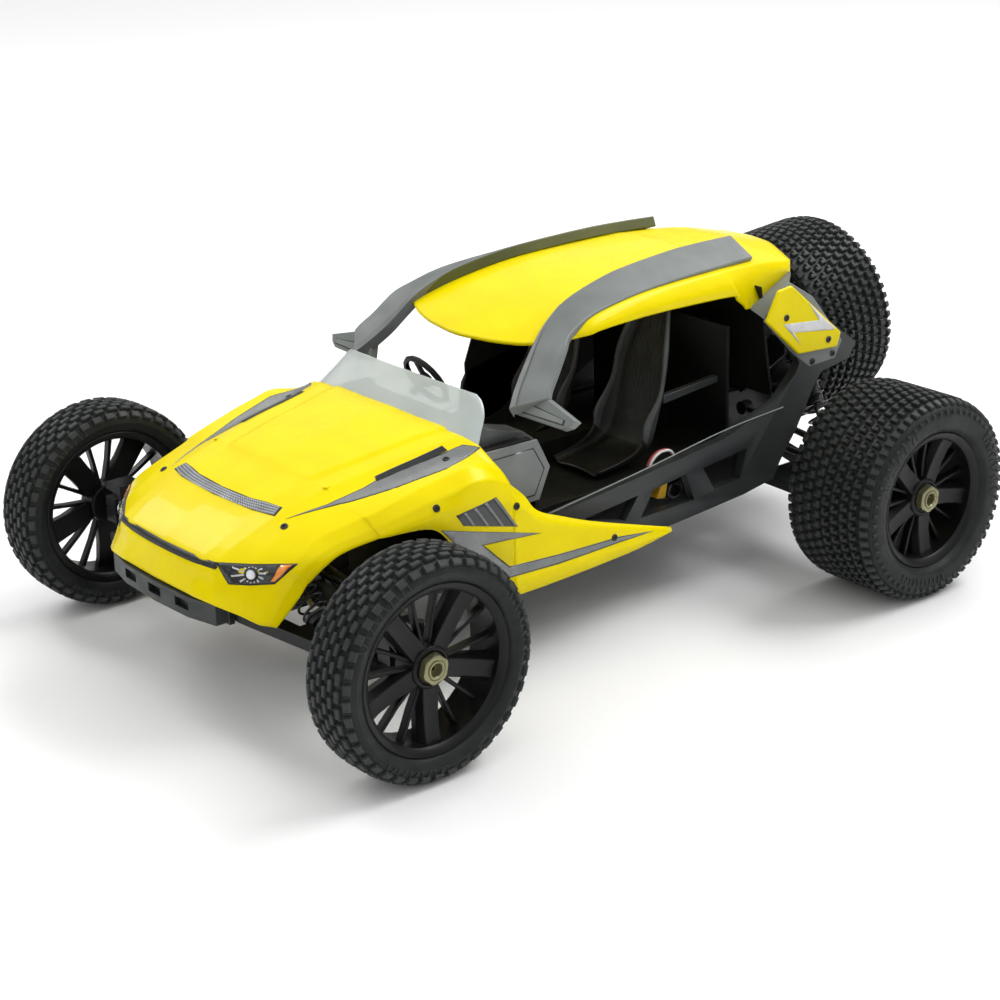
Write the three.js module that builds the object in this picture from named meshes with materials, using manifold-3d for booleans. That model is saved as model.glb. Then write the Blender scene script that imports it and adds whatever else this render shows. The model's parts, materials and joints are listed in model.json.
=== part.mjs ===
// Remote-control desert buggy, 1:7 class, built as separate pieces.
// Millimetres, +Z up, the nose points along -Y and the left side of the car along +X.
// Everything is drawn from a point on the ground midway between the two axles, then the
// whole car is moved along Y so that its bounding box is centred on the origin.
import * as THREE from 'three';
import { mergeVertices } from 'three/addons/utils/BufferGeometryUtils.js';
import Module from 'manifold-3d';

const wasm = await Module();
wasm.setup();

// ---- driving dimensions ----
const CENTRING = -22.8;            // moves the car so that its box is centred on the origin
const AXLE = 209.2;              // half of the wheelbase
const HUB_Z = 72;                // height of the wheel centres
const TYRE_R = 72;
const GAP = 0.3;                 // clearance between touching pieces
const WHEEL_SIDES = 28;
const FRONT_WHEEL = { x: 181, half: 20, lip: 54, seat: 50, face: 198, hubIn: 174, hubOut: 192 };
const REAR_WHEEL = { x: 175, half: 38, lip: 48, seat: 44, face: 209, hubIn: 180, hubOut: 202 };
const SPOKES = 5;
const HUB_R = 14;
const AXLE_R = 4;
const HEX_R = 9.8;               // 17 mm across flats
const SPARE = { y: 283.7, z: 141.8, tilt: 0.08 };
const SHEET = 2.2;               // thickness of the polycarbonate shells
const FLOOR_Z = 50;              // underside of the chassis plate
const PLATE = 3;
const FRAME_X = 90;              // inner face of the side frames
const FRAME_T = 7;
const TUB_Z = 90;                // floor of the interior tray

// ---- suspension points, left side: x outwards, z up ----
const FRONT = {
  inner: [32, 66], outer: [146, 58], armY: [-244, -176], tipY: [-224, -195],
  upIn: [38, 101], upOut: [136.4, 90], upY: -200,
  shockTop: [50, 113], shockLow: [106, 70], shockY: -222, bodyLength: 38,
};
const REAR = {
  inner: [30, 62], outer: [124, 53], armY: [180, 240], tipY: [190, 229],
  upIn: [36, 99], upOut: [114.4, 91], upY: 201,
  shockTop: [58, 150], shockLow: [104, 67], shockY: 226, bodyLength: 50,
};
const KINGPIN_X = 154;
const TIE_ROD = { y: -187, inner: [36, 82], outer: [151, 77] };

// ---- colours and finishes ----
const finish = (color, roughness, metalness = 0) => ({ color, roughness, metalness });
const YELLOW = finish(0xf2df12, 0.22);
const GREY = finish(0x6a6f70, 0.55);
const CHARCOAL = finish(0x26282a, 0.6);
const BLACK = finish(0x121314, 0.65);
const TYRE = finish(0x17191a, 0.85);
const SEAT = finish(0x3a3d3e, 0.8);
const STEEL = finish(0xb9bcbf, 0.3, 0.9);
const BRASS = finish(0x8f8a66, 0.4, 0.8);
const CLEAR = finish(0xdfe8ea, 0.1);

// ---- geometry helpers ----
function solid(geometry) {
  let g = geometry.clone();
  g.deleteAttribute('normal');
  g.deleteAttribute('uv');
  g = mergeVertices(g, 1e-4);
  const mesh = new wasm.Mesh({
    numProp: 3,
    vertProperties: new Float32Array(g.attributes.position.array),
    triVerts: new Uint32Array(g.index.array),
  });
  return new wasm.Manifold(mesh);
}

function shape3d(manifold) {
  const mesh = manifold.getMesh();
  const g = new THREE.BufferGeometry();
  g.setAttribute('position', new THREE.BufferAttribute(new Float32Array(mesh.vertProperties), 3));
  g.setIndex(new THREE.BufferAttribute(new Uint32Array(mesh.triVerts), 1));
  return g;
}

const join = (first, ...rest) => shape3d(rest.reduce((sum, g) => sum.add(solid(g)), solid(first)));
const cut = (first, ...rest) => shape3d(rest.reduce((sum, g) => sum.subtract(solid(g)), solid(first)));
// The largest body of a cut that also leaves thin slivers.
const mainBody = (g) => shape3d(solid(g).decompose().sort((a, b) => b.volume() - a.volume())[0]);
const common = (a, b) => shape3d(solid(a).intersect(solid(b)));

function mirrored(geometry) {
  const g = geometry.clone();
  g.scale(-1, 1, 1);
  if (!g.index) g.setIndex([...Array(g.attributes.position.count).keys()]);
  const index = g.index;
  for (let i = 0; i < index.count; i += 3) {
    const keep = index.getX(i);
    index.setX(i, index.getX(i + 1));
    index.setX(i + 1, keep);
  }
  g.deleteAttribute('normal');
  return g;
}

const box = (x0, x1, y0, y1, z0, z1) => new THREE.BoxGeometry(x1 - x0, y1 - y0, z1 - z0)
  .translate((x0 + x1) / 2, (y0 + y1) / 2, (z0 + z1) / 2);

function outline(points, holes = []) {
  const face = new THREE.Shape(points.map(([a, b]) => new THREE.Vector2(a, b)));
  holes.forEach((hole) => face.holes.push(new THREE.Path(hole.map(([a, b]) => new THREE.Vector2(a, b)))));
  return face;
}

const slab = (points, depth, holes) => new THREE.ExtrudeGeometry(outline(points, holes), {
  depth, bevelEnabled: false,
});

// Outline in (y, z), thickness from x0 to x1.
function plateX(points, x0, x1, holes) {
  const basis = new THREE.Matrix4().makeBasis(
    new THREE.Vector3(0, 1, 0), new THREE.Vector3(0, 0, 1), new THREE.Vector3(1, 0, 0));
  return slab(points, x1 - x0, holes).applyMatrix4(basis).translate(x0, 0, 0);
}

// Outline in (x, z), thickness from y0 to y1.
function plateY(points, y0, y1, holes) {
  return slab(points, y1 - y0, holes).rotateX(Math.PI / 2).translate(0, y1, 0);
}

// Outline in (x, y), thickness from z0 to z1.
const plateZ = (points, z0, z1, holes) => slab(points, z1 - z0, holes).translate(0, 0, z0);

function rod(from, to, radius, sides = 12, endRadius = radius) {
  const a = new THREE.Vector3(...from);
  const b = new THREE.Vector3(...to);
  const axis = b.clone().sub(a);
  const g = new THREE.CylinderGeometry(endRadius, radius, axis.length(), sides);
  const up = new THREE.Vector3(0, 1, 0);
  g.applyQuaternion(new THREE.Quaternion().setFromUnitVectors(up, axis.normalize()));
  return g.translate(...a.add(b).multiplyScalar(0.5).toArray());
}

// Closed ring turned about X from a closed (radius, x) outline, with a flat at the bottom.
function ringX(profile, sides = WHEEL_SIDES) {
  const loop = [...profile, profile[0]].map(([r, x]) => new THREE.Vector2(r, x));
  return new THREE.LatheGeometry(loop, sides).rotateY(Math.PI / sides).rotateZ(-Math.PI / 2);
}

// Thin shell bent through a grid of points, given row by row; the thickness goes down or inwards.
function shell(rows, thickness, lift = 0) {
  const nj = rows.length - 1;
  const ni = rows[0].length - 1;
  const within = (k, n) => Math.min(Math.max(k, 0), n);
  const at = (i, j) => new THREE.Vector3(...rows[within(j, nj)][within(i, ni)]);
  const g = new THREE.BoxGeometry(1, 1, 1, ni, nj, 1);
  const position = g.attributes.position;
  for (let k = 0; k < position.count; k += 1) {
    const i = Math.round((position.getX(k) + 0.5) * ni);
    const j = Math.round((position.getY(k) + 0.5) * nj);
    const across = at(i + 1, j).sub(at(i - 1, j));
    const along = at(i, j + 1).sub(at(i, j - 1));
    const normal = across.cross(along).normalize();
    const p = at(i, j).addScaledVector(normal, position.getZ(k) > 0 ? lift : lift - thickness);
    position.setXYZ(k, p.x, p.y, p.z);
  }
  return g;
}

// Full-width rows from rows that run from the centre line out to the left edge.
const fullWidth = (rows) => rows.map((row) => [
  ...row.slice(1).reverse().map(([x, y, z]) => [-x, y, z]), ...row]);

// ---- scene graph ----
const buggy = new THREE.Group();
buggy.name = 'rc_buggy';
buggy.position.y = CENTRING;

function add(name, geometry, look, parent = buggy) {
  const mesh = new THREE.Mesh(geometry, new THREE.MeshStandardMaterial(look));
  mesh.name = name;
  parent.add(mesh);
  return mesh;
}

const sides = [['left', (g) => g], ['right', mirrored]];

// ---- wheels, drawn around their own centre with the outer face towards +X ----
function tyreShape(wheel) {
  const h = wheel.half;
  const top = TYRE_R / Math.cos(Math.PI / WHEEL_SIDES);
  const half = wheel.face - wheel.x - 3;
  return ringX([
    [wheel.seat + GAP, -half], [wheel.lip + GAP + 1, -half], [wheel.lip + 5, -h], [top - 7, -h],
    [top, -h + 6], [top, h - 6], [top - 7, h], [wheel.lip + 5, h], [wheel.lip + GAP + 1, half],
    [wheel.seat + GAP, half],
  ]);
}

function rimShape(wheel) {
  const face = wheel.face - wheel.x;
  const lipIn = face - 2.6;
  const barrel = ringX([
    [wheel.seat - 2, -face], [wheel.lip, -face], [wheel.lip, -lipIn], [wheel.seat, -lipIn],
    [wheel.seat, lipIn], [wheel.lip, lipIn], [wheel.lip, face], [wheel.seat - 2, face],
  ]);
  const hubIn = wheel.hubIn - wheel.x;
  const hubOut = wheel.hubOut - wheel.x;
  const pieces = [rod([hubIn, 0, 0], [hubOut, 0, 0], HUB_R, 15)];
  const reach = wheel.seat - 1.6;
  for (let i = 0; i < SPOKES; i += 1) {
    const turn = (2 * Math.PI * i) / SPOKES;
    const wide = [[-4.5, 8], [4.5, 8], [8.5, reach], [-8.5, reach]];
    const blade = plateX(wide, hubOut - 9, hubOut - 2);
    pieces.push(blade.rotateX(turn));
    [-0.44, 0.44].forEach((side) => {
      const thin = plateX([[-1.6, 8], [1.6, 8], [1.6, reach], [-1.6, reach]], hubOut - 8, hubOut - 3);
      pieces.push(thin.rotateX(turn + Math.PI / SPOKES + side * 0.5));
    });
  }
  const bore = rod([hubIn - 1, 0, 0], [hubOut + 1, 0, 0], AXLE_R + GAP, 12);
  return cut(join(barrel, ...pieces), bore);
}

function axleShape(wheel, innerX) {
  const start = innerX - wheel.x;
  const hub = wheel.hubIn - wheel.x;
  const end = wheel.hubOut - wheel.x;
  return join(
    rod([start, 0, 0], [end + 1, 0, 0], AXLE_R, 12),
    rod([hub - 6, 0, 0], [hub - GAP, 0, 0], HEX_R, 6),
    rod([end + GAP, 0, 0], [end + 7.5, 0, 0], HEX_R, 6),
  );
}

function addWheel(corner, wheel, y, mirror, axleFrom) {
  const centre = new THREE.Group();
  centre.position.set(mirror === mirrored ? -wheel.x : wheel.x, y, HUB_Z);
  buggy.add(centre);
  add(`tyre_${corner}`, mirror(tyreShape(wheel)), TYRE, centre);
  add(`rim_${corner}`, mirror(rimShape(wheel)), BLACK, centre);
  add(`axle_and_nut_${corner}`, mirror(axleShape(wheel, axleFrom)), BRASS, centre);
}

// ---- suspension ----
const alongY = ([x, z], y0, y1, radius, facets = 12) => rod([x, y0, z], [x, y1, z], radius, facets);

// Lower arm: a tapered frame with a barrel at each pivot, a forked tip and a shock lug.
function lowerArm(set) {
  const [xi, zi] = set.inner;
  const [xo, zo] = set.outer;
  const [y0, y1] = set.armY;
  const [t0, t1] = set.tipY;
  const side = [[xi, zi - 4], [xo, zo - 4], [xo, zo + 4], [xi, zi + 4]];
  const mid = (y0 + y1) / 2;
  const span = xo - xi;
  const reach = xi + span * 0.42;
  const opening = [[xi + 14, mid - 20], [reach, mid - 15], [reach, mid + 15], [xi + 14, mid + 20]];
  const plan = [
    [xi - 6, y0], [xi + 8, y0], [xo - 12, t0], [xo + 6, t0],
    [xo + 6, t1], [xo - 12, t1], [xi + 8, y1], [xi - 6, y1],
  ];
  const body = join(plateY(side, y0, y1), alongY(set.inner, y0, y1, 5), alongY(set.outer, t0, t1, 5));
  const fork = box(xo - 9, xo + 8, t0 + 7, t1 - 7, zo - 9, zo + 9);
  const bore = alongY(set.inner, y0 - 1, y1 + 1, 1.8, 8);
  const shaped = cut(common(body, plateZ(plan, zo - 12, zi + 12, [opening])), fork, bore);
  const lugZ = set.shockLow[1] - 7;
  const lug = box(set.shockLow[0] - 5, set.shockLow[0] + 5, set.shockY - 7, set.shockY + 7, zo, lugZ);
  return join(shaped, lug);
}

// Upper link: a turnbuckle with a ball end on each side.
function upperLink(set) {
  const at = ([x, z], y = set.upY) => [x, y, z];
  return join(
    rod(at(set.upIn), at(set.upOut), 2.6, 8),
    alongY(set.upIn, set.upY - 4, set.upY + 4, 5),
    alongY(set.upOut, set.upY - 3.5, set.upY + 3.5, 4.2, 10),
  );
}

// Rear hub carrier with its axle bore, lower lug and upper ear.
function rearCarrier() {
  const [xo, zo] = REAR.outer;
  const block = plateY([
    [xo - 4, zo - 3], [xo + 4, zo - 4], [xo + 9, 62], [xo + 9, 84], [xo + 4, 96], [xo - 2, 96], [xo - 4, 84],
  ], AXLE - 12, AXLE + 12);
  const waist = box(xo - 20, xo + 20, AXLE - 30, AXLE - 11.5, zo - 9.5, zo + 9.5);
  const ear = box(xo - 4, xo + 4, REAR.upY - 5, AXLE, 86, 96);
  const bore = rod([xo - 20, AXLE, HUB_Z], [xo + 20, AXLE, HUB_Z], AXLE_R + GAP, 16);
  return cut(join(block, ear), waist, bore);
}

// Front hub carrier: a C that holds the steering knuckle between two flanges.
function frontCarrier() {
  const [xo, zo] = FRONT.outer;
  const c = plateY([
    [xo - 4, zo - 4], [161, zo - 7], [161, zo - 2], [xo - 0.5, zo + 2], [xo - 0.5, 88],
    [161, 89], [161, 94], [xo - 4, 95], [xo - 4, 86],
  ], -AXLE - 9, -AXLE + 9);
  const ear = box(xo - 4, xo + 1, -AXLE, FRONT.upY + 5, 86, 95);
  const slot = rod([xo - 20, -AXLE, HUB_Z], [161, -AXLE, HUB_Z], 6, 12);
  const waist = [[-30, -6.9], [6.9, 30]].map(([from, to]) => (
    box(xo - 10, 163, -AXLE + from, -AXLE + to, 48, zo + 7)));
  return cut(join(c, ear), slot, ...waist);
}

// Steering knuckle: a block on the kingpin with the axle bore and the steering arm.
function knuckle() {
  const block = box(KINGPIN_X - 3.5, KINGPIN_X + 9, -AXLE - 9, -AXLE + 9, 65.5, 83);
  const kingpin = rod([KINGPIN_X, -AXLE, 60.4], [KINGPIN_X, -AXLE, 88], 3.5, 12);
  const [bx, bz] = TIE_ROD.outer;
  const arm = plateZ([
    [KINGPIN_X - 2, -AXLE + 8], [KINGPIN_X + 5, -AXLE + 8],
    [bx + 4, TIE_ROD.y + 3], [bx - 4, TIE_ROD.y + 3],
  ], bz - 7, bz - 3);
  const bore = rod([KINGPIN_X - 20, -AXLE, HUB_Z], [KINGPIN_X + 20, -AXLE, HUB_Z], AXLE_R + GAP, 16);
  return cut(join(block, kingpin, arm), bore);
}

// Oil-filled shock: the body hangs from the tower, the rod slides in it and carries the spring seat.
function shockParts(set) {
  const top = new THREE.Vector3(set.shockTop[0], set.shockY, set.shockTop[1]);
  const low = new THREE.Vector3(set.shockLow[0], set.shockY, set.shockLow[1]);
  const dir = low.clone().sub(top).normalize();
  const along = (d) => top.clone().addScaledVector(dir, d).toArray();
  const total = low.distanceTo(top);
  const length = set.bodyLength;
  const body = join(
    alongY(set.shockTop, set.shockY - 4, set.shockY + 4, 4.5, 12),
    rod(along(3), along(10), 9.5, 16),
    rod(along(9), along(length), 7.5, 16),
  );
  const hollow = rod(along(12), along(length + 1), 2.2, 10);
  const rodPart = join(
    rod(along(length - 10), along(total - 2), 1.8, 10),
    rod(along(total - 14), along(total - 9), 9, 16),
    alongY(set.shockLow, set.shockY - 4, set.shockY + 4, 3.8, 12),
  );
  return { body: cut(body, hollow), rod: rodPart };
}

sides.forEach(([side, mirror]) => {
  const f = `front_${side}`;
  const r = `rear_${side}`;
  addWheel(f, FRONT_WHEEL, -AXLE, mirror, KINGPIN_X - 3);
  addWheel(r, REAR_WHEEL, AXLE, mirror, REAR.outer[0] - 8);
  add(`lower_arm_${f}`, mirror(lowerArm(FRONT)), BLACK);
  add(`lower_arm_${r}`, mirror(lowerArm(REAR)), BLACK);
  add(`upper_link_${f}`, mirror(upperLink(FRONT)), STEEL);
  add(`upper_link_${r}`, mirror(upperLink(REAR)), STEEL);
  add(`hub_carrier_${f}`, mirror(frontCarrier()), BLACK);
  add(`hub_carrier_${r}`, mirror(rearCarrier()), BLACK);
  add(`steering_knuckle_${side}`, mirror(knuckle()), BLACK);
  [[FRONT, f], [REAR, r]].forEach(([set, corner]) => {
    const shock = shockParts(set);
    add(`shock_body_${corner}`, mirror(shock.body), BLACK);
    add(`shock_rod_${corner}`, mirror(shock.rod), STEEL);
  });
  const [ix, iz] = TIE_ROD.inner;
  const [ox, oz] = TIE_ROD.outer;
  add(`tie_rod_${side}`, mirror(join(
    rod([ix, TIE_ROD.y, iz], [ox, TIE_ROD.y, oz + 2], 2, 8),
    rod([ix, TIE_ROD.y, iz - 3], [ix, TIE_ROD.y, iz + 3], 3.6, 10),
    rod([ox, TIE_ROD.y, oz - 1.5], [ox, TIE_ROD.y, oz + 5], 3.8, 10),
  )), STEEL);
});

// ---- steering drive ----
add('steering_link', join(
  box(-40, 40, TIE_ROD.y + 4.2, TIE_ROD.y + 10, 74, 86),
  box(-41, -31, TIE_ROD.y - 5, TIE_ROD.y + 6, 73, 77.5),
  box(31, 41, TIE_ROD.y - 5, TIE_ROD.y + 6, 73, 77.5),
), BLACK);
add('steering_servo', join(
  box(-44, -4, -150, -128, FLOOR_Z + PLATE + GAP, 92),
  rod([-14, -139, 90], [-14, -139, 97], 8, 16),
  box(-50, 2, -149, -129, 80, 84),
), BLACK);

// ---- chassis plate, kicked up at the nose ----
function chassisPlate() {
  const profile = [
    [-268, 70], [-160, FLOOR_Z], [250, FLOOR_Z], [250, FLOOR_Z + PLATE],
    [-160, FLOOR_Z + PLATE], [-268, 70 + PLATE]];
  const edge = [[22, -262], [24, -170], [58, -130], [74, -90], [74, 130], [50, 150], [26, 176], [26, 246]];
  const ring = [...edge, ...edge.slice().reverse().map(([x, y]) => [-x, y])];
  return common(plateX(profile, -90, 90), plateZ(ring, 30, 100));
}
add('chassis_plate', chassisPlate(), CHARCOAL);

// ---- gearboxes: each carries its shock tower and the brackets of the lower hinge pins ----
function gearbox(set, profile, towerBase, towerY, towerHalf, towerTop, crossZ) {
  const half = set.inner[0] - 10;
  const reach = set.inner[0] + 5;
  const brackets = [set.armY[0] - 4.5, set.armY[1] + 0.5].flatMap((y) => [
    box(-reach, reach, y, y + 4, crossZ, set.inner[1] + 8),
    box(-reach, -half - 4, y, y + 4, set.inner[1] - 6, set.inner[1] + 8),
    box(half + 4, reach, y, y + 4, set.inner[1] - 6, set.inner[1] + 8),
  ]);
  const tower = plateY([
    [-16, towerBase], [16, towerBase], [towerHalf, towerTop - 12], [towerHalf, towerTop],
    [towerHalf - 14, towerTop], [22, towerBase + 14], [-22, towerBase + 14], [14 - towerHalf, towerTop],
    [-towerHalf, towerTop], [-towerHalf, towerTop - 12],
  ], towerY, towerY + 4);
  return join(plateX(profile, -half, half), tower, ...brackets);
}
add('front_gearbox', gearbox(FRONT, [
  [-249, 69.9], [-170, 55.3], [-170, 72], [-193, 72], [-193, 100], [-240, 100], [-249, 92],
], 92, -211.8, 56, 118, 69.8), BLACK);
add('rear_gearbox', gearbox(REAR, [
  [175, 53.3], [245, 53.3], [245, 98], [236, 106], [186, 106], [175, 92],
], 100, 212, 64, 155, 58), BLACK);

// ---- side frames: rail, web with three openings, rear upright and rear pillar ----
const FRAME_OUTLINE = [
  [-95, 58], [65, 58.5], [139, 63.5], [169, 68], [175, 79], [192, 101], [208, 128], [216, 137], [244, 141],
  [250, 152], [218, 176], [196, 194], [178, 190], [165, 189], [178, 172], [193, 148], [190, 142],
  [171, 125], [119, 109], [-37, 94], [-95, 88],
];
const FRAME_HOLES = [
  [[-10, 84], [28, 73], [40, 88.5]], [[42, 71.5], [92, 72], [84, 92.5], [54, 89]],
  [[100, 93], [111, 74.5], [136, 76], [142, 97]], [[-86, 66], [-26, 66], [-44, 84], [-86, 80]],
];
const sideFrame = plateX(FRAME_OUTLINE, FRAME_X, FRAME_X + FRAME_T, FRAME_HOLES);
const feet = [box(70, FRAME_X + 1, -88, -76, 58, 64), box(70, FRAME_X + 1, 108, 120, 61, 67)];
const frameOnFeet = join(sideFrame, ...feet);
sides.forEach(([side, mirror]) => add(`side_frame_${side}`, mirror(frameOnFeet), CHARCOAL));

// ---- interior tray: floor, sills, tunnel, dash, kick panels, firewall and right-hand panel ----
function interiorTray() {
  const x = FRAME_X - 2;
  const dash = plateX([
    [-86, TUB_Z], [-83, TUB_Z], [-83, 143], [-54, 144], [-40, 122], [-44, TUB_Z], [-41, TUB_Z],
    [-36, 123], [-52, 147.5], [-86, 147],
  ], -x, x);
  const kick = plateX([[-86, 104], [-44, 104], [-34, 126], [-46, 148], [-86, 148]], x - 3, x);
  const panel = plateX([[30, 91], [36, 126], [42, 135], [83, 142.5], [128, 150], [128, 91]], -x, 3 - x);
  return join(
    box(-x, x, -86, 168, TUB_Z, TUB_Z + 2.5),
    box(-x, 3 - x, -86, 168, TUB_Z, 97), box(x - 3, x, -86, 168, TUB_Z, 97),
    box(-10, 10, -44, 166, TUB_Z + 1, 106), dash, kick, mirrored(kick), panel,
    box(-70, 70, 148, 151, TUB_Z + 1, 178),
  );
}
add('interior_tray', interiorTray(), BLACK);

// ---- bucket seat, left one; the right one is its mirror image ----
function bucketSeat() {
  const floor = TUB_Z + 2.5 + GAP;
  const side = [
    [48, floor], [46, 112], [60, 112], [72, 128], [84, 168],
    [97, 197], [108, 199], [118, 192], [104, 140], [97, floor],
  ];
  const outer = plateX(side, 20, 70);
  const hollow = plateX([[40, 106], [78, 104], [92, 140], [106, 190], [90, 206], [40, 206]], 27, 63);
  const shoulders = join(
    plateY([[10, 210], [10, 168], [29, 182], [34, 210]], 40, 130),
    plateY([[80, 210], [56, 210], [61, 182], [80, 168]], 40, 130));
  return cut(outer, hollow, shoulders);
}
sides.forEach(([side, mirror]) => add(`seat_${side}`, mirror(bucketSeat()), SEAT));

// ---- dummy steering wheel, moulded with its column, on the right-hand side ----
function steeringWheel() {
  const ring = new THREE.TorusGeometry(19, 2.2, 6, 18);
  const spokes = [box(-18, 18, -2, 2, -1.2, 1.2), box(-2, 2, -18, 0, -1.2, 1.2)];
  const hub = rod([0, 0, -2], [0, 0, 2], 6, 12);
  const column = rod([0, 0, -14], [0, 0, -1], 3, 10);
  return join(ring, ...spokes, hub, column).rotateX(THREE.MathUtils.degToRad(-62)).translate(-47, -26, 151);
}
add('steering_wheel', steeringWheel(), BLACK);

// ---- battery pack and motor between the chassis plate and the tray ----
add('battery_pack', box(-66, -20, -70, 70, FLOOR_Z + PLATE + GAP, 86), BLACK);
add('motor', join(
  rod([44, 62, 71], [44, 128, 71], 16.5, 24), rod([44, 126, 71], [44, 142, 71], 2.5, 10),
  box(36, 52, 66, 122, FLOOR_Z + PLATE + GAP, 62)), STEEL);

// ---- body shell: hood, nose, fenders and skirts ----
const HOOD_ROWS = [
  [[0, -277, 90], [38, -276, 90], [60, -273, 89], [76, -265, 85],
    [86, -258, 80], [90, -253, 78], [91, -249, 77]],
  [[0, -272, 103], [38, -270, 103], [54, -266, 102], [72, -258, 100],
    [88, -248, 97], [92, -244, 91], [94, -238, 88]],
  [[0, -265, 114], [38, -264, 113.5], [53, -262, 112.5], [74, -253, 114],
    [94, -238, 112], [98, -234, 105], [99, -230, 102]],
  [[0, -254, 127], [40, -252, 126.5], [60, -249, 125.5], [77, -241, 122],
    [97, -228, 118], [101, -224, 113], [102, -221, 111]],
  [[0, -227, 134.5], [40, -226, 133.5], [60, -225, 132], [74, -224, 129],
    [94, -213, 125], [104, -209, 119], [105, -208, 115]],
  [[0, -182, 145], [45, -182, 143.5], [64, -182, 142], [80, -182, 137],
    [101, -182, 132], [109, -180, 124], [110, -180, 116]],
  [[0, -148, 151.5], [50, -148, 150], [68, -148, 148.5], [84, -148, 144],
    [108, -148, 140.5], [117, -147, 130], [118, -147, 117]],
  [[0, -118, 156.5], [54, -116, 155], [72, -114, 153.5], [88, -113, 150],
    [114, -113, 147.5], [122, -114, 130], [122, -118, 106]],
  [[0, -92, 159.5], [58, -92, 158], [76, -92, 156.5], [91, -92, 154],
    [114, -86, 137], [121, -78, 120], [122, -88, 100]],
];
const SKIRT = [
  [-131, 112], [-104, 118], [-80, 125], [-66, 111], [-20, 92],
  [53, 66], [40, 62], [-60, 60], [-98, 60], [-118, 84],
];

function hoodShell() {
  const top = shell(fullWidth(HOOD_ROWS), SHEET);
  const skirt = plateX(SKIRT, 112, 120);
  return join(top, skirt, mirrored(skirt));
}
add('hood_shell', hoodShell(), YELLOW);

// ---- small wrap-round windscreen above the rear edge of the hood ----
const SCREEN_ROWS = [
  [[0, -92, 162], [30, -92, 161.5], [58, -91, 160.5], [78, -90, 159], [87, -87, 157.5]],
  [[0, -84, 171], [28, -84, 170.5], [54, -83, 170], [72, -81, 168.5], [80, -77, 167]],
  [[0, -77, 180], [26, -77, 180], [48, -76, 179.5], [64, -75, 179], [71, -72, 177]],
];
add('windscreen', shell(fullWidth(SCREEN_ROWS), 1.5), CLEAR);

// ---- roof ----
const ROOF_ROWS = [
  [[0, -38, 197.5], [35, -33, 198.5], [58, -25, 199.5], [76, -14, 203], [84, -5, 206]],
  [[0, -20, 205], [35, -16, 205.5], [56, -10, 206], [80, 2, 210.5], [89, 6, 207]],
  [[0, 10, 214.5], [35, 12, 214.5], [53, 14, 214.5], [81, 17, 215], [90, 16, 208.5]],
  [[0, 50, 223], [35, 50, 222.5], [51, 50, 221.5], [79, 50, 218.5], [89, 48, 209]],
  [[0, 90, 227], [34, 90, 226], [47, 90, 224], [76, 90, 219.5], [87, 84, 208]],
  [[0, 140, 228], [31, 140, 227], [43, 140, 225], [71, 140, 218.5], [84, 136, 204]],
  [[0, 190, 225], [26, 188, 224.5], [38, 184, 222.5], [67, 178, 216.5], [81, 162, 194]],
  [[0, 238, 215], [25, 235, 214.5], [40, 228, 213.5], [63, 217, 211.5], [68, 212, 203]],
];
add('roof_shell', shell(fullWidth(ROOF_ROWS), SHEET), YELLOW);

// ---- roof rails: each runs forward over the roof and down as the front pillar to its foot ----
const RAIL = [   // inner top edge, then outer edge
  [[39.5, 181, 231.8], [63, 180, 220.5]], [[41.5, 150, 233], [67, 150, 221.5]],
  [[43.6, 119, 233.4], [70, 119, 222]], [[47.7, 75, 231.6], [74, 75, 221.5]],
  [[51.2, 48, 229.1], [77, 47, 220]], [[56.5, 14.4, 222.6], [81, 15, 216.5]],
  [[61.4, -4.7, 215], [86, -8, 209.5]], [[66.6, -20.4, 205.2], [92, -19, 203]],
  [[73, -38, 188.5], [98, -32, 190]], [[79, -50, 178], [102, -40, 183]], [[85, -59, 170], [105, -43.5, 178]],
];

function roofRail(mirror) {
  const n = RAIL.length - 1;
  const g = new THREE.BoxGeometry(1, 1, 1, 1, n, 1);
  const position = g.attributes.position;
  for (let k = 0; k < position.count; k += 1) {
    const j = Math.round((position.getY(k) + 0.5) * n);
    const [inner, outer] = RAIL[n - j].map((p) => new THREE.Vector3(...p));
    const [before, after] = [RAIL[Math.max(n - j - 1, 0)][0], RAIL[Math.min(n - j + 1, n)][0]];
    const along = new THREE.Vector3(...before).sub(new THREE.Vector3(...after));
    const down = along.cross(outer.clone().sub(inner)).normalize();
    const p = position.getX(k) < 0 ? inner : outer;
    if (position.getZ(k) < 0) p.addScaledVector(down, 7);
    position.setXYZ(k, p.x, p.y, p.z);
  }
  const foot = plateX([[-59, 171], [-44, 179], [-38, 172], [-36, 160], [-41, 158], [-55, 165]], 88, 124);
  const wedge = plateY([[84, 158], [84, 184], [104, 184], [128, 172], [128, 162], [112, 156]], -70, -30);
  const roof = shell(fullWidth(ROOF_ROWS), SHEET);
  const around = [[0, 0, 0], [0.4, 0, 0], [-0.4, 0, 0], [0, -0.4, 0], [0, 0, -0.4], [0, 0, 0.4]];
  return mainBody(cut(mirror(join(g, common(foot, wedge))), shell(fullWidth(ROOF_ROWS), 9, GAP),
    ...around.map((d) => roof.clone().translate(...d))));
}
sides.forEach(([side, mirror]) => add(`roof_rail_${side}`, roofRail(mirror), GREY));

// ---- rear side plates on the rear pillars ----
const REAR_PLATE = [[192, 199], [175, 179], [204, 149], [236, 144.5], [250, 154.5], [204, 193]];
const rearPlate = plateX(REAR_PLATE, FRAME_X + FRAME_T + GAP, FRAME_X + FRAME_T + 3.3);
sides.forEach(([side, mirror]) => add(`rear_plate_${side}`, mirror(rearPlate), YELLOW));

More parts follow.
